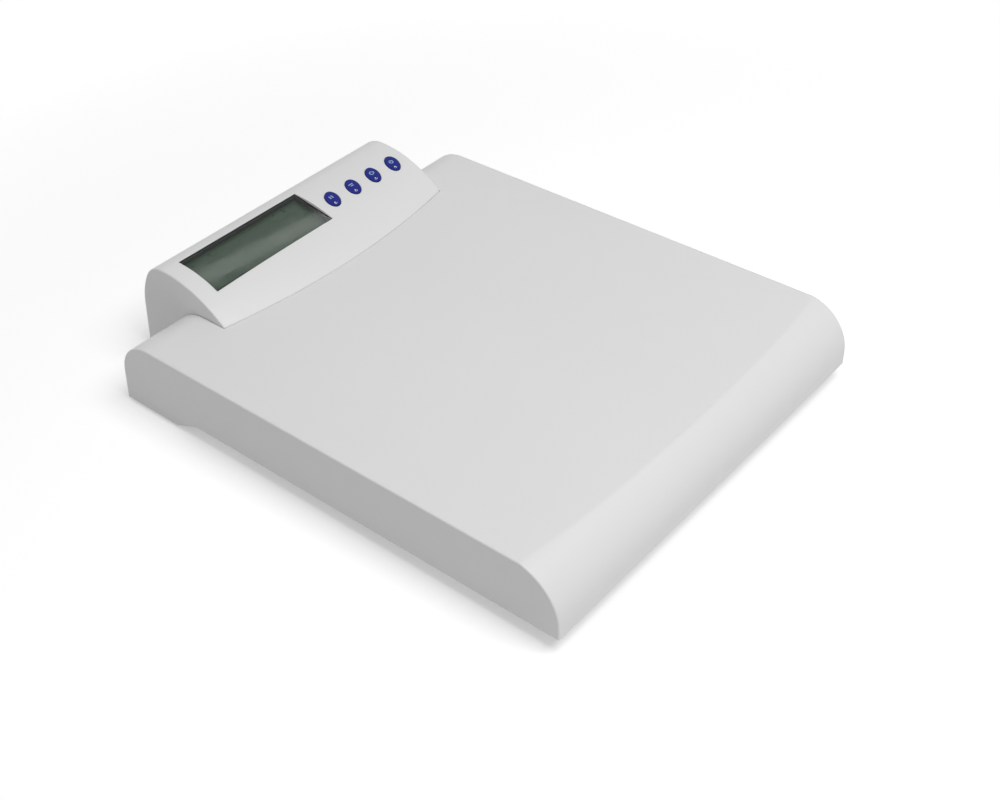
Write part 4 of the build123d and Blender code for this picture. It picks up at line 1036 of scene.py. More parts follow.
def make_console():
    """The console's moulded housing as one closed shell with its window, key holes and inlet bore."""
    sizes = bpy.context.scene.scale_shell
    wall, edge, lip = sizes.console_wall / MM, sizes.console_edge / MM, sizes.lip / MM
    rim_r = sizes.parting / MM
    inner_half = HALF_CONSOLE - wall
    rows = console_rows(lip, rim_r)
    stations = console_stations(wall, edge, lip)
    outer, inner = shell_layers(
        stations, rows, edge, rim_r, lip,
        lambda x, row, inset, dip: console_row(x, row, inset, HALF_CONSOLE, 0.0, lip) - WINDOW.normal * dip,
        lambda x, row: console_row(x, row, wall, inner_half, POCKET_LAP, lip))

    def row_of(kind):
        return [i for i, row in enumerate(rows) if row[0] == kind]

    key_i = row_of("keys")
    inlet_i = [i for i in row_of("wall") if rows[i][1] in INLET_ROWS]
    lips = [j for j, station in enumerate(stations) if station[3] == 0.0]
    blocks = [(lips[0], lips[-1], row_of("low")[-1], row_of("high")[0])]
    places = [station[0] for station in stations]
    for x in KEY_X:
        j = min(range(len(places)), key=lambda j: abs(places[j] - x + KEY_PITCH / 2))
        blocks.append((j, j + KEY_COLUMNS, key_i[0], key_i[-1]))
    j = min(range(len(places)), key=lambda j: abs(places[j] - INLET_X))
    blocks.append((j - INLET_COLUMNS, j + INLET_COLUMNS, inlet_i[0], inlet_i[-1]))

    surface = Surface()
    for j in range(len(stations) - 1):
        for i in range(len(rows) - 1):
            if any(a <= j < b and c <= i < d for a, b, c, d in blocks):
                continue
            for layer in (outer, inner):
                surface.face((layer[j][i], layer[j][i + 1], layer[j + 1][i + 1], layer[j + 1][i]))
        for i in (0, -1):
            rim(surface, outer, inner, j, i)

    opening, lining = ring_of(outer, *blocks[0]), ring_of(inner, *blocks[0])
    seat = [WINDOW.at(p.x, WINDOW.rise(p), min(-LENS_T, WINDOW.over(p) - SEAT_COVER / 2)) for p in opening]
    ledge = []
    for p in lining:
        skin = WINDOW.over(level(WINDOW, p.x, WINDOW.rise(p), 0.0, HALF_CONSOLE))
        ledge.append(WINDOW.at(p.x, WINDOW.rise(p), min(-LENS_T, skin - SEAT_COVER)))
    surface.loop(opening, seat, ledge, lining)

    def on_face(depth, half):
        return lambda x, v, drop: level(KEYS, x, v, depth, half) - KEYS.normal * drop

    def on_wall(depth, half):
        return lambda x, z, drop: console_point(x, wall_s(z, depth), depth, half) - Vector((0, drop, 0))

    def holes(block, coords, on_skin, target, inner_target):
        return [hole(surface, ring_of(layer, *block), coords, aim, on_skin(depth, half), lip_r)
                for layer, depth, half, lip_r, aim in ((outer, 0.0, HALF_CONSOLE, lip, target),
                                                       (inner, wall, inner_half, 0.0, inner_target))]

    for x, block in zip(KEY_X, blocks[1:]):
        target = ((x, 0.0), (KEY_W / 2 + KEY_GAP, KEY_H / 2 + KEY_GAP), (KEY_PITCH / 2, KEY_REACH), KEY_LEAN)
        surface.loop(*holes(block, lambda p: (p.x, KEYS.rise(p)), on_face, target, target))
    targets = [((INLET_X, INLET_Z), (radius, radius), (INLET_REACH, INLET_REACH), 0.0)
               for radius in (INLET_R, COLLAR_R)]
    bore, collar = holes(blocks[-1], lambda p: (p.x, p.z), on_wall, *targets)
    surface.loop(bore, *([Vector((p.x, SEAT_Y, p.z)) for p in ring] for ring in (bore, collar)), collar)

    for j in (0, -1):
        front, rear = outer[j][0].y + 6.0, outer[j][-1].y - 6.0
        line = [(between(front, rear, s), RIM_Z) for s in steps(6)]
        end_wall(surface, HALF_CONSOLE, wall, outer[j], inner[j], line, rim_r)
    weighted(surface.build("console_shell", "platform", "white_moulding", "console_housing"))


# Display

def slab(surface, x, v, half_w, half_h, low, high, chamfer):
    """A flat block in the window's plane, with its edges taken off."""
    layers = []
    for inset, w in ((chamfer, low), (0.0, low + chamfer), (0.0, high - chamfer), (chamfer, high)):
        ring = []
        for k, (a, b) in enumerate(SQUARE):
            pair = [(x + a * (half_w - inset - chamfer), v + b * (half_h - inset)),
                    (x + a * (half_w - inset), v + b * (half_h - inset - chamfer))]
            ring += pair if k % 2 else pair[::-1]
        layers.append([WINDOW.at(*spot, w) for spot in ring])
    surface.stack(layers)


def window_slab(name, look, node, reach, low, high, chamfer):
    """A flat block over the window, reaching past its edges or staying inside them."""
    surface = Surface(SHARP_FLAT)
    slab(surface, WINDOW_X, 0.0, WINDOW_W / 2 + reach, WINDOW_H / 2 + reach, low, high, chamfer)
    surface.build(name, "platform", look, node)


def window_ring(name, profile, *nodes):
    """A closed black ring round the window, from the inset and the height of its profile's corners."""
    surface = Surface(SHARP_FLAT)
    rings = [[WINDOW.at(WINDOW_X + a * (WINDOW_W / 2 - inset), b * (WINDOW_H / 2 - inset), w)
              for a, b in SQUARE] for inset, w in profile]
    surface.loop(*rings, rings[0])
    surface.build(name, "platform", "black_moulding", *nodes)


def segment_bars(x, v, height, lean):
    """Centres and half sizes of the seven bars of one figure."""
    width, thick = height * 0.5, height * 0.045
    bars = [(x + lean * k * height / 2, v + k * height / 2, width * 0.40, thick) for k in (-1, 0, 1)]
    bars += [(x + side * width * 0.5 + lean * up * height / 4, v + up * height / 4, thick, height * 0.20)
             for side in SIDES for up in SIDES]
    return bars


def make_display():
    """Lens, dark frame, display panel with its resting figures, and the light guide."""
    window_slab("display_window", "clear_lens", "display_lens", -LENS_PLAY, -LENS_T + 0.03 + LENS_CLEAR,
                0.0, 0.12)
    low, high = -LENS_T + LENS_CLEAR, -0.12
    near, far = 0.02, LCD_LAP
    window_ring("display_gasket", ((near, high), (near, -LENS_T + 0.02), (far, -LENS_T + 0.02), (far, low),
                                   (LENS_PLAY - 0.02, low), (LENS_PLAY - 0.02, high)))
    depth, edge = LENS_T + BEZEL_T, BEZEL_EDGE
    window_ring("display_frame", (
        (0.2, -LENS_T), (BEZEL_LEDGE - edge, -LENS_T), (BEZEL_LEDGE, -LENS_T - edge),
        (BEZEL_LEDGE, -depth + edge), (BEZEL_LEDGE - edge, -depth), (-BEZEL_LAP + edge, -depth),
        (-BEZEL_LAP, -depth + edge), (-BEZEL_LAP, -LENS_T - BEZEL_SLOPE)), "display_bezel")
    window_slab("display_panel", "display_panel", "lcd_glass", LCD_LAP, -depth - LCD_T + 0.02, -depth - 0.05,
                0.3)
    ghosts = Surface(SHARP_FLAT)
    for k in range(5):
        for bar_at in segment_bars(WINDOW_X + 46.0 - k * FIGURE_PITCH, -2.0, FIGURE_H, 0.08):
            slab(ghosts, *bar_at, -depth - 0.1, -depth - 0.02, 0.02)
    ghosts.build("display_figures", "platform", "resting_figures")
    paint("light_guide", "lcd_backlight")


# Keys

def crown(index, x, v):
    """Height of a key's top over the key plane."""
    across = x * math.cos(KEY_LEAN) - v * math.sin(KEY_LEAN)
    along = x * math.sin(KEY_LEAN) + v * math.cos(KEY_LEAN)
    share = (across / (KEY_W / 2)) ** 2 + (along / (KEY_H / 2)) ** 2
    rise = bpy.context.scene.scale_keys.crown / MM
    return KEY_HEIGHTS[index] + KEY_PROUD - rise * (share - 0.25)


def key_ring(index, offset, height=None):
    """An oval round a key, offset from its edge, at a height or on its crowned top."""
    ring = []
    for x, v in (oval_spot(KEY_W / 2 + offset, KEY_H / 2 + offset, 2 * math.pi * k / 64) for k in range(64)):
        ring.append(KEYS.at(KEY_X[index] + x, v, crown(index, x, v) if height is None else height))
    return ring


def make_key(index, name):
    """One key: crowned cap, rounded edge, retaining flange and stem."""
    edge = bpy.context.scene.scale_keys.edge / MM
    tops = [-(1 - share) * KEY_W / 2 for share in (0.04, 0.2, 0.4, 0.6, 0.78, 0.9)] + [-edge]
    top = crown(index, *oval_spot(KEY_W / 2 - edge, 0.0, 0.0))
    base = KEY_HEIGHTS[index] - KEY_FLANGE_LOW
    sides = [(-edge * out, top - edge * drop) for out, drop in ROUND[1:]]
    sides += [(0.0, base + KEY_FLANGE_T + 0.3), (0.3, base + KEY_FLANGE_T),
              (KEY_FLANGE_W, base + KEY_FLANGE_T), (KEY_FLANGE_W, base), (-3.0, base)]
    surface = Surface()
    surface.stack([key_ring(index, offset) for offset in tops] + [key_ring(index, *side) for side in sides])
    surface.turned(((0, base + 0.4), (KEY_STEM_R, base + 0.4), (KEY_STEM_R, -KEY_STEM_LOW + 0.3),
                    (KEY_STEM_R - 0.3, -KEY_STEM_LOW), (0, -KEY_STEM_LOW)), (KEY_X[index], 0.0), 24, KEYS)
    weighted(surface.build(f"{name}_key_cap", f"{name}_key", "key_moulding", f"{name}_key"))


def bar(x, v, w, h, r=0.3):
    """Outline of a bar with rounded corners."""
    return [arc_at(x + a * (w / 2 - r), v + b * (h / 2 - r), r, start + turn)
            for a, b, start in ((1, 1, 0), (-1, 1, 90), (-1, -1, 180), (1, -1, 270)) for turn in (0, 45, 90)]


def bow(x, v, r, width, start, end):
    """Outline of a bow-shaped stroke."""
    angles = [between(start, end, s) for s in steps(14)]
    return ([arc_at(x, v, r + width / 2, a) for a in angles]
            + [arc_at(x, v, r - width / 2, a) for a in reversed(angles)])


KEY_SIGNS = {
    "hold": (bar(-1.3, 2.0, 1.1, 3.6), bar(1.3, 2.0, 1.1, 3.6)),
    "unit": (bar(0.0, 3.3, 5.6, 0.9), bar(0.0, 1.1, 3.6, 0.9)),
    "tare": (bow(0.0, 2.0, 1.9, 0.8, 20, 340), bar(2.6, 2.0, 0.9, 2.4)),
    "power": (bow(0.0, 1.8, 1.9, 0.8, 125, 415), bar(0.0, 3.2, 0.8, 2.6)),
}
KEY_DOT = (circle(0.75, 18, (-2.2, -5.2)), bow(-2.2, -5.2, 1.8, 0.4, 215, 335))


def printed(index, name, look, outlines):
    """Flat marks on a key's crowned top, from their outlines."""
    surface = Surface()
    for outline in outlines:
        top, low = ([KEYS.at(KEY_X[index] + x, v, crown(index, x, v) + rise) for x, v in outline]
                    for rise in (PRINT_T, -PRINT_SINK))
        surface.face(top)
        surface.face(low)
        surface.loop(top, low)
    surface.build(name, f"{KEY_NAMES[index]}_key", look)


def make_keys():
    """The four keys, each on its own body, with plain printed signs."""
    for index, name in enumerate(KEY_NAMES):
        make_key(index, name)
        printed(index, f"{name}_key_sign", "sign_ink_light", KEY_SIGNS[name])
        printed(index, f"{name}_key_dot", "sign_ink_white", KEY_DOT)
        paint("black_moulding", f"{name}_plunger")


# Feet

def ball(radius, angles):
    """Profile of a ball or its socket from the lowest point up."""
    return [(radius * math.sin(math.radians(a)), BALL_Z - radius * math.cos(math.radians(a)))
            for a in angles]


def rod(surface, centre, radius, low, high, pitch, depth):
    """A threaded rod with a tapered upper end."""
    count, per_turn = 40, 6
    rings = []
    for s in steps(int((high - low) / pitch * per_turn)):
        z = between(low, high, s)
        ring = []
        for k in range(count):
            thread = radius - depth * abs(2 * ((z / pitch + k / count) % 1.0) - 1)
            r = min(thread, radius - 1.0 + (high - z) * 1.2)
            ring.append(Vector((*polar(centre, r, 2 * math.pi * k / count), z)))
        rings.append(ring)
    surface.stack(rings)


def make_feet():
    """Rubber pads and their threaded stems."""
    grooves = [spot for r in (5.0, 10.0, 15.0)
               for spot in ((r, 0.0), (r + 0.4, 0.5), (r + 1.6, 0.5), (r + 2.0, 0.0))]
    side = [(19.2, 0.0), (19.8, 0.3), (20.0, 0.9), (20.0, 3.3), (19.8, 3.9), (19.2, 4.4), (16.0, 6.3),
            (13.0, 8.4), (11.6, 10.0), (11.0, 10.45), (10.4, 10.6), (5.6, 10.6)]
    socket = ball(SOCKET_R, (119.7, 100, 80, 60, 40, 20, 0))
    neck = [(3.6, 13.2), (3.6, 14.6), (0, 14.6)]
    hexagon = [(0.0, 14.2), (7.4, 14.2), (8.6592, 14.9), (8.6592, 19.5), (7.4, 20.2), (0.0, 20.2)]
    for end, centre in CORNERS.items():
        pad = Surface()
        pad.turned([(0, 0.0)] + grooves + side + socket, centre, 72)
        pad.build(f"foot_pad_{end}_finished", f"{end}_pad", "foot_rubber", f"foot_pad_{end}")
        stem = Surface()
        stem.turned(ball(BALL_R, (0, 20, 40, 60, 80, 100, 120, 143.1)) + neck, centre, 48)
        stem.turned(hexagon, centre, 6)
        rod(stem, centre, STEM_R, STEM_LOW, STEM_TOP, STEM_PITCH, STEM_THREAD)
        weighted(stem.build(f"foot_stem_{end}_finished", f"{end}_stem", "zinc_plating", f"foot_stem_{end}"))


# Screws and bolts

def head_of(tree, given, vertices, base, tiers):
    """A head on its seat: a cylinder of a share of its height, then tiers of a rise and a scale."""
    height = given["Head Height"]
    head = add(tree, "GeometryNodeMeshCylinder", Vertices=vertices, Radius=given["Head Radius"],
               Depth=calc(tree, "MULTIPLY", height, base))
    top = head.outputs["Top"]
    mesh = lifted(tree, head.outputs["Mesh"], calc(tree, "MULTIPLY", height, base / 2))
    for rise, scale in tiers:
        drawn = add(tree, "GeometryNodeExtrudeMesh", Mesh=mesh, Selection=top, Individual=False,
                    Offset=put(tree, z=calc(tree, "MULTIPLY", height, rise)))
        top = drawn.outputs["Top"]
        mesh = add(tree, "GeometryNodeScaleElements", Geometry=drawn.outputs["Mesh"], Selection=top,
                   Scale=scale).outputs[0]
    return mesh


def end_fastener(tree, given, head, tools, shank, shift):
    """Cut tools out of a head, join it to its shank, and close the tree with one on every point."""
    for tool in tools:
        head = add(tree, "GeometryNodeMeshBoolean", {"operation": "DIFFERENCE"},
                   **{"Mesh 1": head, "Mesh 2": tool}).outputs["Mesh"]
    whole = add(tree, "GeometryNodeJoinGeometry")
    for part in (head, lifted(tree, shank, shift)):
        tree.links.new(part, whole.inputs[0])
    end_group(tree, given, spread_out(tree, given, whole.outputs[0]))


def screw_tree():
    """A pan-head screw with a cross recess and a turned thread."""
    tree, given = node_group("Pan-head screws", "Head Radius", "Head Height", "Shank Radius", "Length",
                             "Pitch", "Recess")
    times, mad = (functools.partial(calc, tree, kind) for kind in ("MULTIPLY", "MULTIPLY_ADD"))
    height, length, recess = given["Head Height"], given["Length"], given["Recess"]
    wide = times(recess, 0.28)
    slots = [add(tree, "GeometryNodeMeshCube", Size=put(tree, *size)).outputs["Mesh"]
             for size in ((recess, wide, height), (wide, recess, times(height, 0.9)))]
    shank = add(tree, "GeometryNodeMeshCylinder", Vertices=20, Radius=given["Shank Radius"],
                Depth=calc(tree, "ADD", length, times(height, 0.4)), **{"Side Segments": 40})
    x, y, z = position(tree)
    turn = calc(tree, "DIVIDE", calc(tree, "ARCTAN2", y, x), 2 * math.pi)
    phase = calc(tree, "FRACT", calc(tree, "ADD", calc(tree, "DIVIDE", z, given["Pitch"]), turn))
    scale = mad(calc(tree, "ABSOLUTE", mad(phase, 2.0, -1.0)), -0.16, 1.0)
    threaded = add(tree, "GeometryNodeSetPosition", Geometry=shank.outputs["Mesh"],
                   Position=put(tree, times(x, scale), times(y, scale), z))
    end_fastener(tree, given, head_of(tree, given, 32, 0.5, ((0.3, 0.88), (0.2, 0.66))),
                 [lifted(tree, slot, times(height, 0.95)) for slot in slots],
                 threaded.outputs[0], mad(length, -0.5, times(height, 0.2)))
    return tree


def bolt_tree():
    """A socket-head bolt with a hexagon recess."""
    tree, given = node_group("Socket-head bolts", "Head Radius", "Head Height", "Shank Radius", "Length",
                             "Socket")
    height, length = given["Head Height"], given["Length"]
    socket, shank = (add(tree, "GeometryNodeMeshCylinder", Vertices=count, Radius=radius, Depth=depth)
                     for count, radius, depth in ((6, given["Socket"], height),
                                                  (24, given["Shank Radius"], length)))
    end_fastener(tree, given, head_of(tree, given, 36, 0.9, ((0.1, 0.88),)),
                 [lifted(tree, socket.outputs["Mesh"], height)], shank.outputs["Mesh"],
                 calc(tree, "MULTIPLY_ADD", length, -0.5, 0.0005))
    return tree


def paired(places, axis):
    """Heads at places on both sides of the middle, with the way that those of a side face."""
    x, rows, z = places
    return [((side * x, y, z), axis(side)) for side in SIDES for y in rows]


def screw_groups():
    """Each node of screws with their length, and the seat of every head and the way it faces."""
    x, v, w = DISPLAY_SCREWS
    across, rows, z = BOARD_SCREWS
    return (
        ("cover_screws", 6.7, [((*place, BOSS_SCREW_Z), DOWN) for place in boss_places()]),
        ("console_screws", 14.0, paired(CONSOLE_SCREWS, lambda side: DOWN)),
        ("display_screws", 6.3, [(WINDOW.at(WINDOW_X + a * x, b * v, w), -WINDOW.normal)
                                 for a in SIDES for b in SIDES]),
        ("key_board_screws", 6.3, [(KEYS.at(KEY_FIRST_X + share * KEY_PITCH, 0.0, KEY_BOARD_SCREWS_W),
                                    -KEYS.normal) for share in (0.5, 2.5)]),
        ("board_screws", 6.3, [((x, y, z), UP) for x in across for y in rows]),
        ("bracket_screws", 6.0, paired(BRACKET_SCREWS, lambda side: (-side, 0, 0))),
    )


def make_screws():
    """Every screw and bolt, grown by Geometry Nodes on its own points."""
    sizes = bpy.context.scene.scale_screws

    def group(node, tree, arrows, values, **lengths):
        values = dict(values, Material=finish("zinc_plating"),
                      **{label.replace("_", " "): size * MM for label, size in lengths.items()})
        settle(f"{node}_finished", grown(node, tree, arrows, values), "platform", "zinc_plating", node)

    tree = screw_tree()
    values = {"Pitch": sizes.pitch, "Recess": sizes.recess}
    for node, length, arrows in screw_groups():
        group(node, tree, arrows, values, Head_Radius=3.4, Head_Height=2.2, Shank_Radius=1.65, Length=length)
    group("cell_bolts", bolt_tree(), paired(CELL_BOLTS, lambda side: DOWN), {}, Head_Radius=5.0,
          Head_Height=6.0, Shank_Radius=3.0, Length=22.0, Socket=2.8)


# Stage

def seen_directly(tree):
    """1 for what the camera sees itself, in a reflection or through glass."""
    path = add(tree, "ShaderNodeLightPath").outputs
    either = calc(tree, "MAXIMUM", path["Is Camera Ray"], path["Is Glossy Ray"])
    return calc(tree, "MAXIMUM", either, path["Is Transmission Ray"])


def lamp(name, place, facing, width, height, power):
    """A soft rectangular lamp."""
    data = bpy.data.lights.new(name, "AREA")
    data.shape = "RECTANGLE"
    data.size, data.size_y = width, height
    data.energy = power
    linked(name, data).matrix_world = Matrix.Translation(place) @ facing.to_4x4()


def make_floor(sizes):
    """A pale floor that fades to the white of the backdrop."""
    mesh = bpy.data.meshes.new("studio_floor")
    mesh.from_pydata([(a * FLOOR_REACH, b * FLOOR_REACH, 0) for a, b in SQUARE], [], [(0, 1, 2, 3)])
    material, tree, bsdf = shader("studio_floor")
    dress(tree, bsdf, Base_Color=(*sizes.floor, 1.0), Roughness=0.8, Specular_IOR_Level=0.1)
    far = add(tree, "ShaderNodeVectorMath", {"operation": "LENGTH"}, i0=object_place(tree)).outputs["Value"]
    fade = mapped(tree, far, 0.0, 1.0, *FLOOR_FADE)
    seen = seen_directly(tree)
    glow = add(tree, "ShaderNodeEmission", Color=WHITE, Strength=1.0)
    lift = add(tree, "ShaderNodeEmission", Color=WHITE,
               Strength=calc(tree, "MULTIPLY", seen, sizes.floor_lift))
    near = add(tree, "ShaderNodeAddShader", i0=bsdf.outputs[0], i1=lift.outputs[0])
    mix = add(tree, "ShaderNodeMixShader", i0=calc(tree, "MULTIPLY", fade, seen), i1=near.outputs[0],
              i2=glow.outputs[0])
    tree.links.new(mix.outputs[0], tree.nodes["Material Output"].inputs["Surface"])
    mesh.materials.append(material)
    linked("studio_floor", mesh)


def make_stage():
    """Floor, world, soft lamps and the camera at the photograph's angle."""
    scene = bpy.context.scene
    sizes = scene.scale_stage
    make_floor(sizes)
    scene.world = bpy.data.worlds.new("studio")
    scene.world.use_nodes = True
    tree = scene.world.node_tree
    strength = add(tree, "ShaderNodeMapRange", i0=seen_directly(tree), i3=sizes.fill, i4=1.0).outputs[0]
    dress(tree, tree.nodes["Background"], Color=WHITE, Strength=strength)

    place = Vector(sizes.key_from)
    aim = (Vector(AIM) - place).to_track_quat("-Z", "Y").to_matrix()
    lamp("key_light", place, aim, *KEY_LIGHT, sizes.key_power)
    spot = WINDOW.at(WINDOW_X + 12.0, -12.0) * MM
    ray = (spot - Vector(sizes.camera)).normalized().reflect(WINDOW.normal)
    across = (Vector((1, 0, 0)) - ray * ray.x).normalized()
    facing = Matrix((across, ray.cross(across), ray)).transposed() @ Matrix.Rotation(sizes.card_roll, 3, "Z")
    lamp("card_light", spot + ray * sizes.card_far, facing, *CARD_LIGHT, sizes.card_power)

    azimuth, elevation, roll = sizes.azimuth, sizes.elevation, sizes.roll
    ahead = Vector((-math.sin(azimuth) * math.cos(elevation), math.cos(azimuth) * math.cos(elevation),
                    -math.sin(elevation)))
    level_right = ahead.cross(Vector(UP)).normalized()
    level_up = level_right.cross(ahead)
    right = level_right * math.cos(roll) + level_up * math.sin(roll)
    up = level_up * math.cos(roll) - level_right * math.sin(roll)
    data = bpy.data.cameras.new("photo_camera")
    data.sensor_width = 36.0
    data.lens = sizes.lens
    data.clip_start = 0.05
    scene.camera = linked("photo_camera", data)
    turn = Matrix((right, up, -ahead)).transposed().to_4x4()
    scene.camera.matrix_world = Matrix.Translation(Vector(sizes.camera)) @ turn
    scene.view_settings.view_transform = "Standard"


# Settings

class ScaleShellSettings(bpy.types.PropertyGroup):
    """Sizes of the two mouldings"""
    cover_wall: FloatProperty(name="Cover Wall", description="Wall of the platform cover", default=0.003,
                              unit="LENGTH")
    cover_edge: FloatProperty(name="Cover Edge", description="Rounding along the cover's sides",
                              default=0.0014, unit="LENGTH")
    console_wall: FloatProperty(name="Console Wall", description="Wall of the console", default=0.0025,
                                unit="LENGTH")
    console_edge: FloatProperty(name="Console Edge", description="Rounding round the console's ends",
                                default=0.0014, unit="LENGTH")
    lip: FloatProperty(name="Lip", description="Rounding round openings and along rims", default=0.0005,
                       unit="LENGTH")
    parting: FloatProperty(name="Parting Edge", description="Rounding along the console's lower rim",
                           default=0.0003, unit="LENGTH")
    rib_thickness: FloatProperty(name="Rib Thickness", description="Thickness of the ribs under the deck",
                                 default=0.002, unit="LENGTH")


class ScaleKeySettings(bpy.types.PropertyGroup):
    """Form of the keys"""
    crown: FloatProperty(name="Crown", description="Rise of a key's middle over its edge",
                         default=0.00025, unit="LENGTH")
    edge: FloatProperty(name="Edge", description="Rounding round a key's top", default=0.0005,
                        unit="LENGTH")


class ScaleScrewSettings(bpy.types.PropertyGroup):
    """Form of the screws"""
    pitch: FloatProperty(name="Pitch", description="Rise of the thread for each turn", default=0.0011,
                         unit="LENGTH")
    recess: FloatProperty(name="Recess", description="Width of the cross recess", default=0.0036,
                          unit="LENGTH")


class ScaleColourSettings(bpy.types.PropertyGroup):
    """Colours a user may change"""
    shell: FloatVectorProperty(name="Shell", description="The white mouldings", subtype="COLOR",
                               default=(0.775, 0.780, 0.775))
    base: FloatVectorProperty(name="Base", description="The console's base", subtype="COLOR",
                              default=(0.70, 0.705, 0.70))
    key: FloatVectorProperty(name="Keys", description="The keys", subtype="COLOR",
                             default=(0.005, 0.013, 0.222))
    display: FloatVectorProperty(name="Display", description="The display at rest", subtype="COLOR",
                                 default=(0.044, 0.085, 0.050))
    frame: FloatVectorProperty(name="Frame", description="The steel frame", subtype="COLOR",
                               default=(0.34, 0.35, 0.36))


class ScaleStageSettings(bpy.types.PropertyGroup):
    """Camera and light"""
    camera: FloatVectorProperty(name="Camera", description="Place of the camera", subtype="TRANSLATION",
                                default=(-0.75258, -0.68995, 0.80781))
    azimuth: FloatProperty(name="Azimuth", description="Turn of the view from +Y", subtype="ANGLE",
                           default=math.radians(-49.159))
    elevation: FloatProperty(name="Elevation", description="Height of the view over the floor",
                             subtype="ANGLE", default=math.radians(39.276))
    roll: FloatProperty(name="Roll", description="Tilt of the picture", subtype="ANGLE",
                        default=math.radians(-2.202))
    lens: FloatProperty(name="Lens", description="Focal length", default=53.51, unit="CAMERA")
    floor: FloatVectorProperty(name="Floor", description="Colour of the floor", subtype="COLOR",
                               default=(0.77, 0.77, 0.77))
    floor_lift: FloatProperty(name="Floor Lift", description="Paleness added to the floor as it is seen",
                              default=0.40)
    fill: FloatProperty(name="Fill", description="Even light from all round", default=0.36)
    key_from: FloatVectorProperty(name="Main Light", description="Place of the main light",
                                  subtype="TRANSLATION", default=(0.0, -1.0, 1.95))
    key_power: FloatProperty(name="Main Power", description="Power of the main light", default=27.0,
                             unit="POWER")
    card_far: FloatProperty(name="Card Distance", description="Distance of the light in the window",
                            default=1.2, unit="LENGTH")
    card_power: FloatProperty(name="Card Power", description="Power of that light", default=0.080,
                              unit="POWER")
    card_roll: FloatProperty(name="Card Roll", description="Turn of that light", subtype="ANGLE",
                             default=-0.08)


# Operators

class SCALE_OT_stage(bpy.types.Operator):
    """Build the floor, the light and the camera"""
    bl_idname = "floor_scale.stage"
    bl_label = "Stage"

    def execute(self, context):
        make_stage()
        return {"FINISHED"}


class SCALE_OT_cover(bpy.types.Operator):
    """Build the platform's moulded cover"""
    bl_idname = "floor_scale.cover"
    bl_label = "Platform Cover"

    def execute(self, context):
        make_cover()
        return {"FINISHED"}


class SCALE_OT_ribs(bpy.types.Operator):
    """Build the ribs and bosses under the deck"""
    bl_idname = "floor_scale.ribs"
    bl_label = "Deck Ribs"

    def execute(self, context):
        make_ribs()
        return {"FINISHED"}


class SCALE_OT_console(bpy.types.Operator):
    """Build the console's moulded housing"""
    bl_idname = "floor_scale.console"
    bl_label = "Console"

    def execute(self, context):
        make_console()
        return {"FINISHED"}


class SCALE_OT_display(bpy.types.Operator):
    """Build the window and the display"""
    bl_idname = "floor_scale.display"
    bl_label = "Display"

    def execute(self, context):
        make_display()
        return {"FINISHED"}


class SCALE_OT_keys(bpy.types.Operator):
    """Build the four keys and their printed signs"""
    bl_idname = "floor_scale.keys"
    bl_label = "Keys"

    def execute(self, context):
        make_keys()
        return {"FINISHED"}


class SCALE_OT_base(bpy.types.Operator):
    """Finish the console's base, battery door and inlet"""
    bl_idname = "floor_scale.base"
    bl_label = "Base"

    def execute(self, context):
        refined("console_base", "platform", "base_moulding", 0.25)
        refined("battery_door", "battery_door", "base_moulding", 0.2)
        paint("base_moulding", "battery_box")
        refined("dc_inlet", "platform", "black_moulding", 0.2)
        return {"FINISHED"}


class SCALE_OT_frame(bpy.types.Operator):
    """Finish the welded steel frame under the cover"""
    bl_idname = "floor_scale.frame"
    bl_label = "Frame"

    def execute(self, context):
        for node in ("rail_left", "rail_right", "crossbar_front", "crossbar_middle", "crossbar_rear",
                     "console_bracket_left", "console_bracket_right"):
            refined(node, "platform", "powder_coat", 0.5)
        paint("powder_coat", "deck_plate", "cell_spacers")
        return {"FINISHED"}


class SCALE_OT_cells(bpy.types.Operator):
    """Finish the four bending beams and their sealed gauges"""
    bl_idname = "floor_scale.cells"
    bl_label = "Load Cells"

    def execute(self, context):
        for end in CORNERS:
            refined(f"load_cell_{end}", "platform", "milled_aluminium", 0.35)
        paint("gauge_seal", "gauge_covers")
        return {"FINISHED"}


class SCALE_OT_feet(bpy.types.Operator):
    """Build the rubber feet and their stems"""
    bl_idname = "floor_scale.feet"
    bl_label = "Feet"

    def execute(self, context):
        make_feet()
        return {"FINISHED"}


class SCALE_OT_screws(bpy.types.Operator):
    """Grow the screws and bolts"""
    bl_idname = "floor_scale.screws"
    bl_label = "Screws"

    def execute(self, context):
        make_screws()
        return {"FINISHED"}


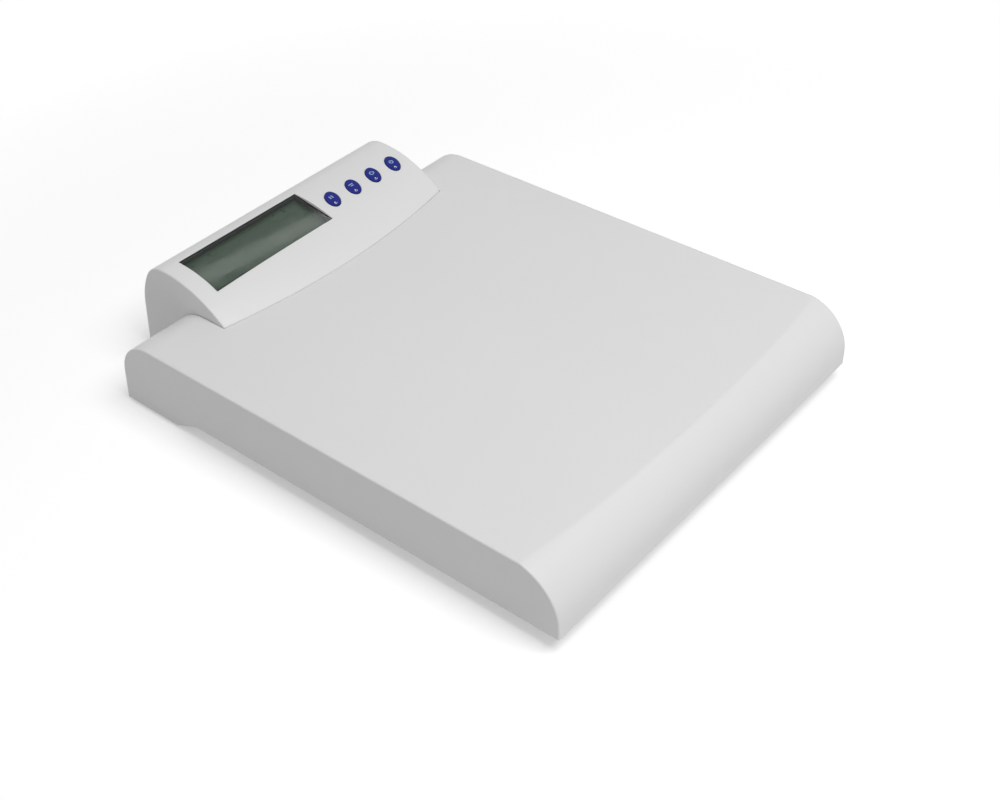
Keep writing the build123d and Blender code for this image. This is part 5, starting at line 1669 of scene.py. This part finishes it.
class SCALE_OT_electronics(bpy.types.Operator):
    """Finish the boards, switches, cells and contacts inside the console"""
    bl_idname = "floor_scale.electronics"
    bl_label = "Electronics"

    def execute(self, context):
        paint("solder_mask", "display_board", "key_board", "main_board")
        paint("chip_resin", "board_parts", "buzzer", "key_switches")
        paint("cell_wrap", "batteries")
        paint("zinc_plating", "battery_contacts")
        return {"FINISHED"}


OPERATORS = (SCALE_OT_stage, SCALE_OT_cover, SCALE_OT_ribs, SCALE_OT_console, SCALE_OT_display,
             SCALE_OT_keys, SCALE_OT_base, SCALE_OT_frame, SCALE_OT_cells, SCALE_OT_feet,
             SCALE_OT_screws, SCALE_OT_electronics)
GROUPS = (("scale_shell", ScaleShellSettings), ("scale_keys", ScaleKeySettings),
          ("scale_screws", ScaleScrewSettings), ("scale_colours", ScaleColourSettings),
          ("scale_stage", ScaleStageSettings))


class SCALE_PT_panel(bpy.types.Panel):
    """Lists the settings and the steps of the scale"""
    bl_idname = "SCALE_PT_panel"
    bl_label = "Floor Scale"
    bl_space_type = "VIEW_3D"
    bl_region_type = "UI"
    bl_category = "Scale"

    def draw(self, context):
        for name, group in GROUPS:
            box = self.layout.box()
            for key in group.__annotations__:
                box.prop(getattr(context.scene, name), key)
        for operator in OPERATORS:
            self.layout.operator(operator.bl_idname)


CLASSES = (*(group for _, group in GROUPS), *OPERATORS, SCALE_PT_panel)


def register():
    for cls in CLASSES:
        bpy.utils.register_class(cls)
    for name, group in GROUPS:
        setattr(bpy.types.Scene, name, PointerProperty(type=group))


def unregister():
    for name, _ in GROUPS:
        delattr(bpy.types.Scene, name)
    for cls in reversed(CLASSES):
        bpy.utils.unregister_class(cls)


def main():
    register()
    bpy.ops.floor_scale.stage()
    bpy.ops.floor_scale.cover()
    bpy.ops.floor_scale.ribs()
    bpy.ops.floor_scale.console()
    bpy.ops.floor_scale.display()
    bpy.ops.floor_scale.keys()
    bpy.ops.floor_scale.base()
    bpy.ops.floor_scale.frame()
    bpy.ops.floor_scale.cells()
    bpy.ops.floor_scale.feet()
    bpy.ops.floor_scale.screws()
    bpy.ops.floor_scale.electronics()


if __name__ == "__main__":
    main()
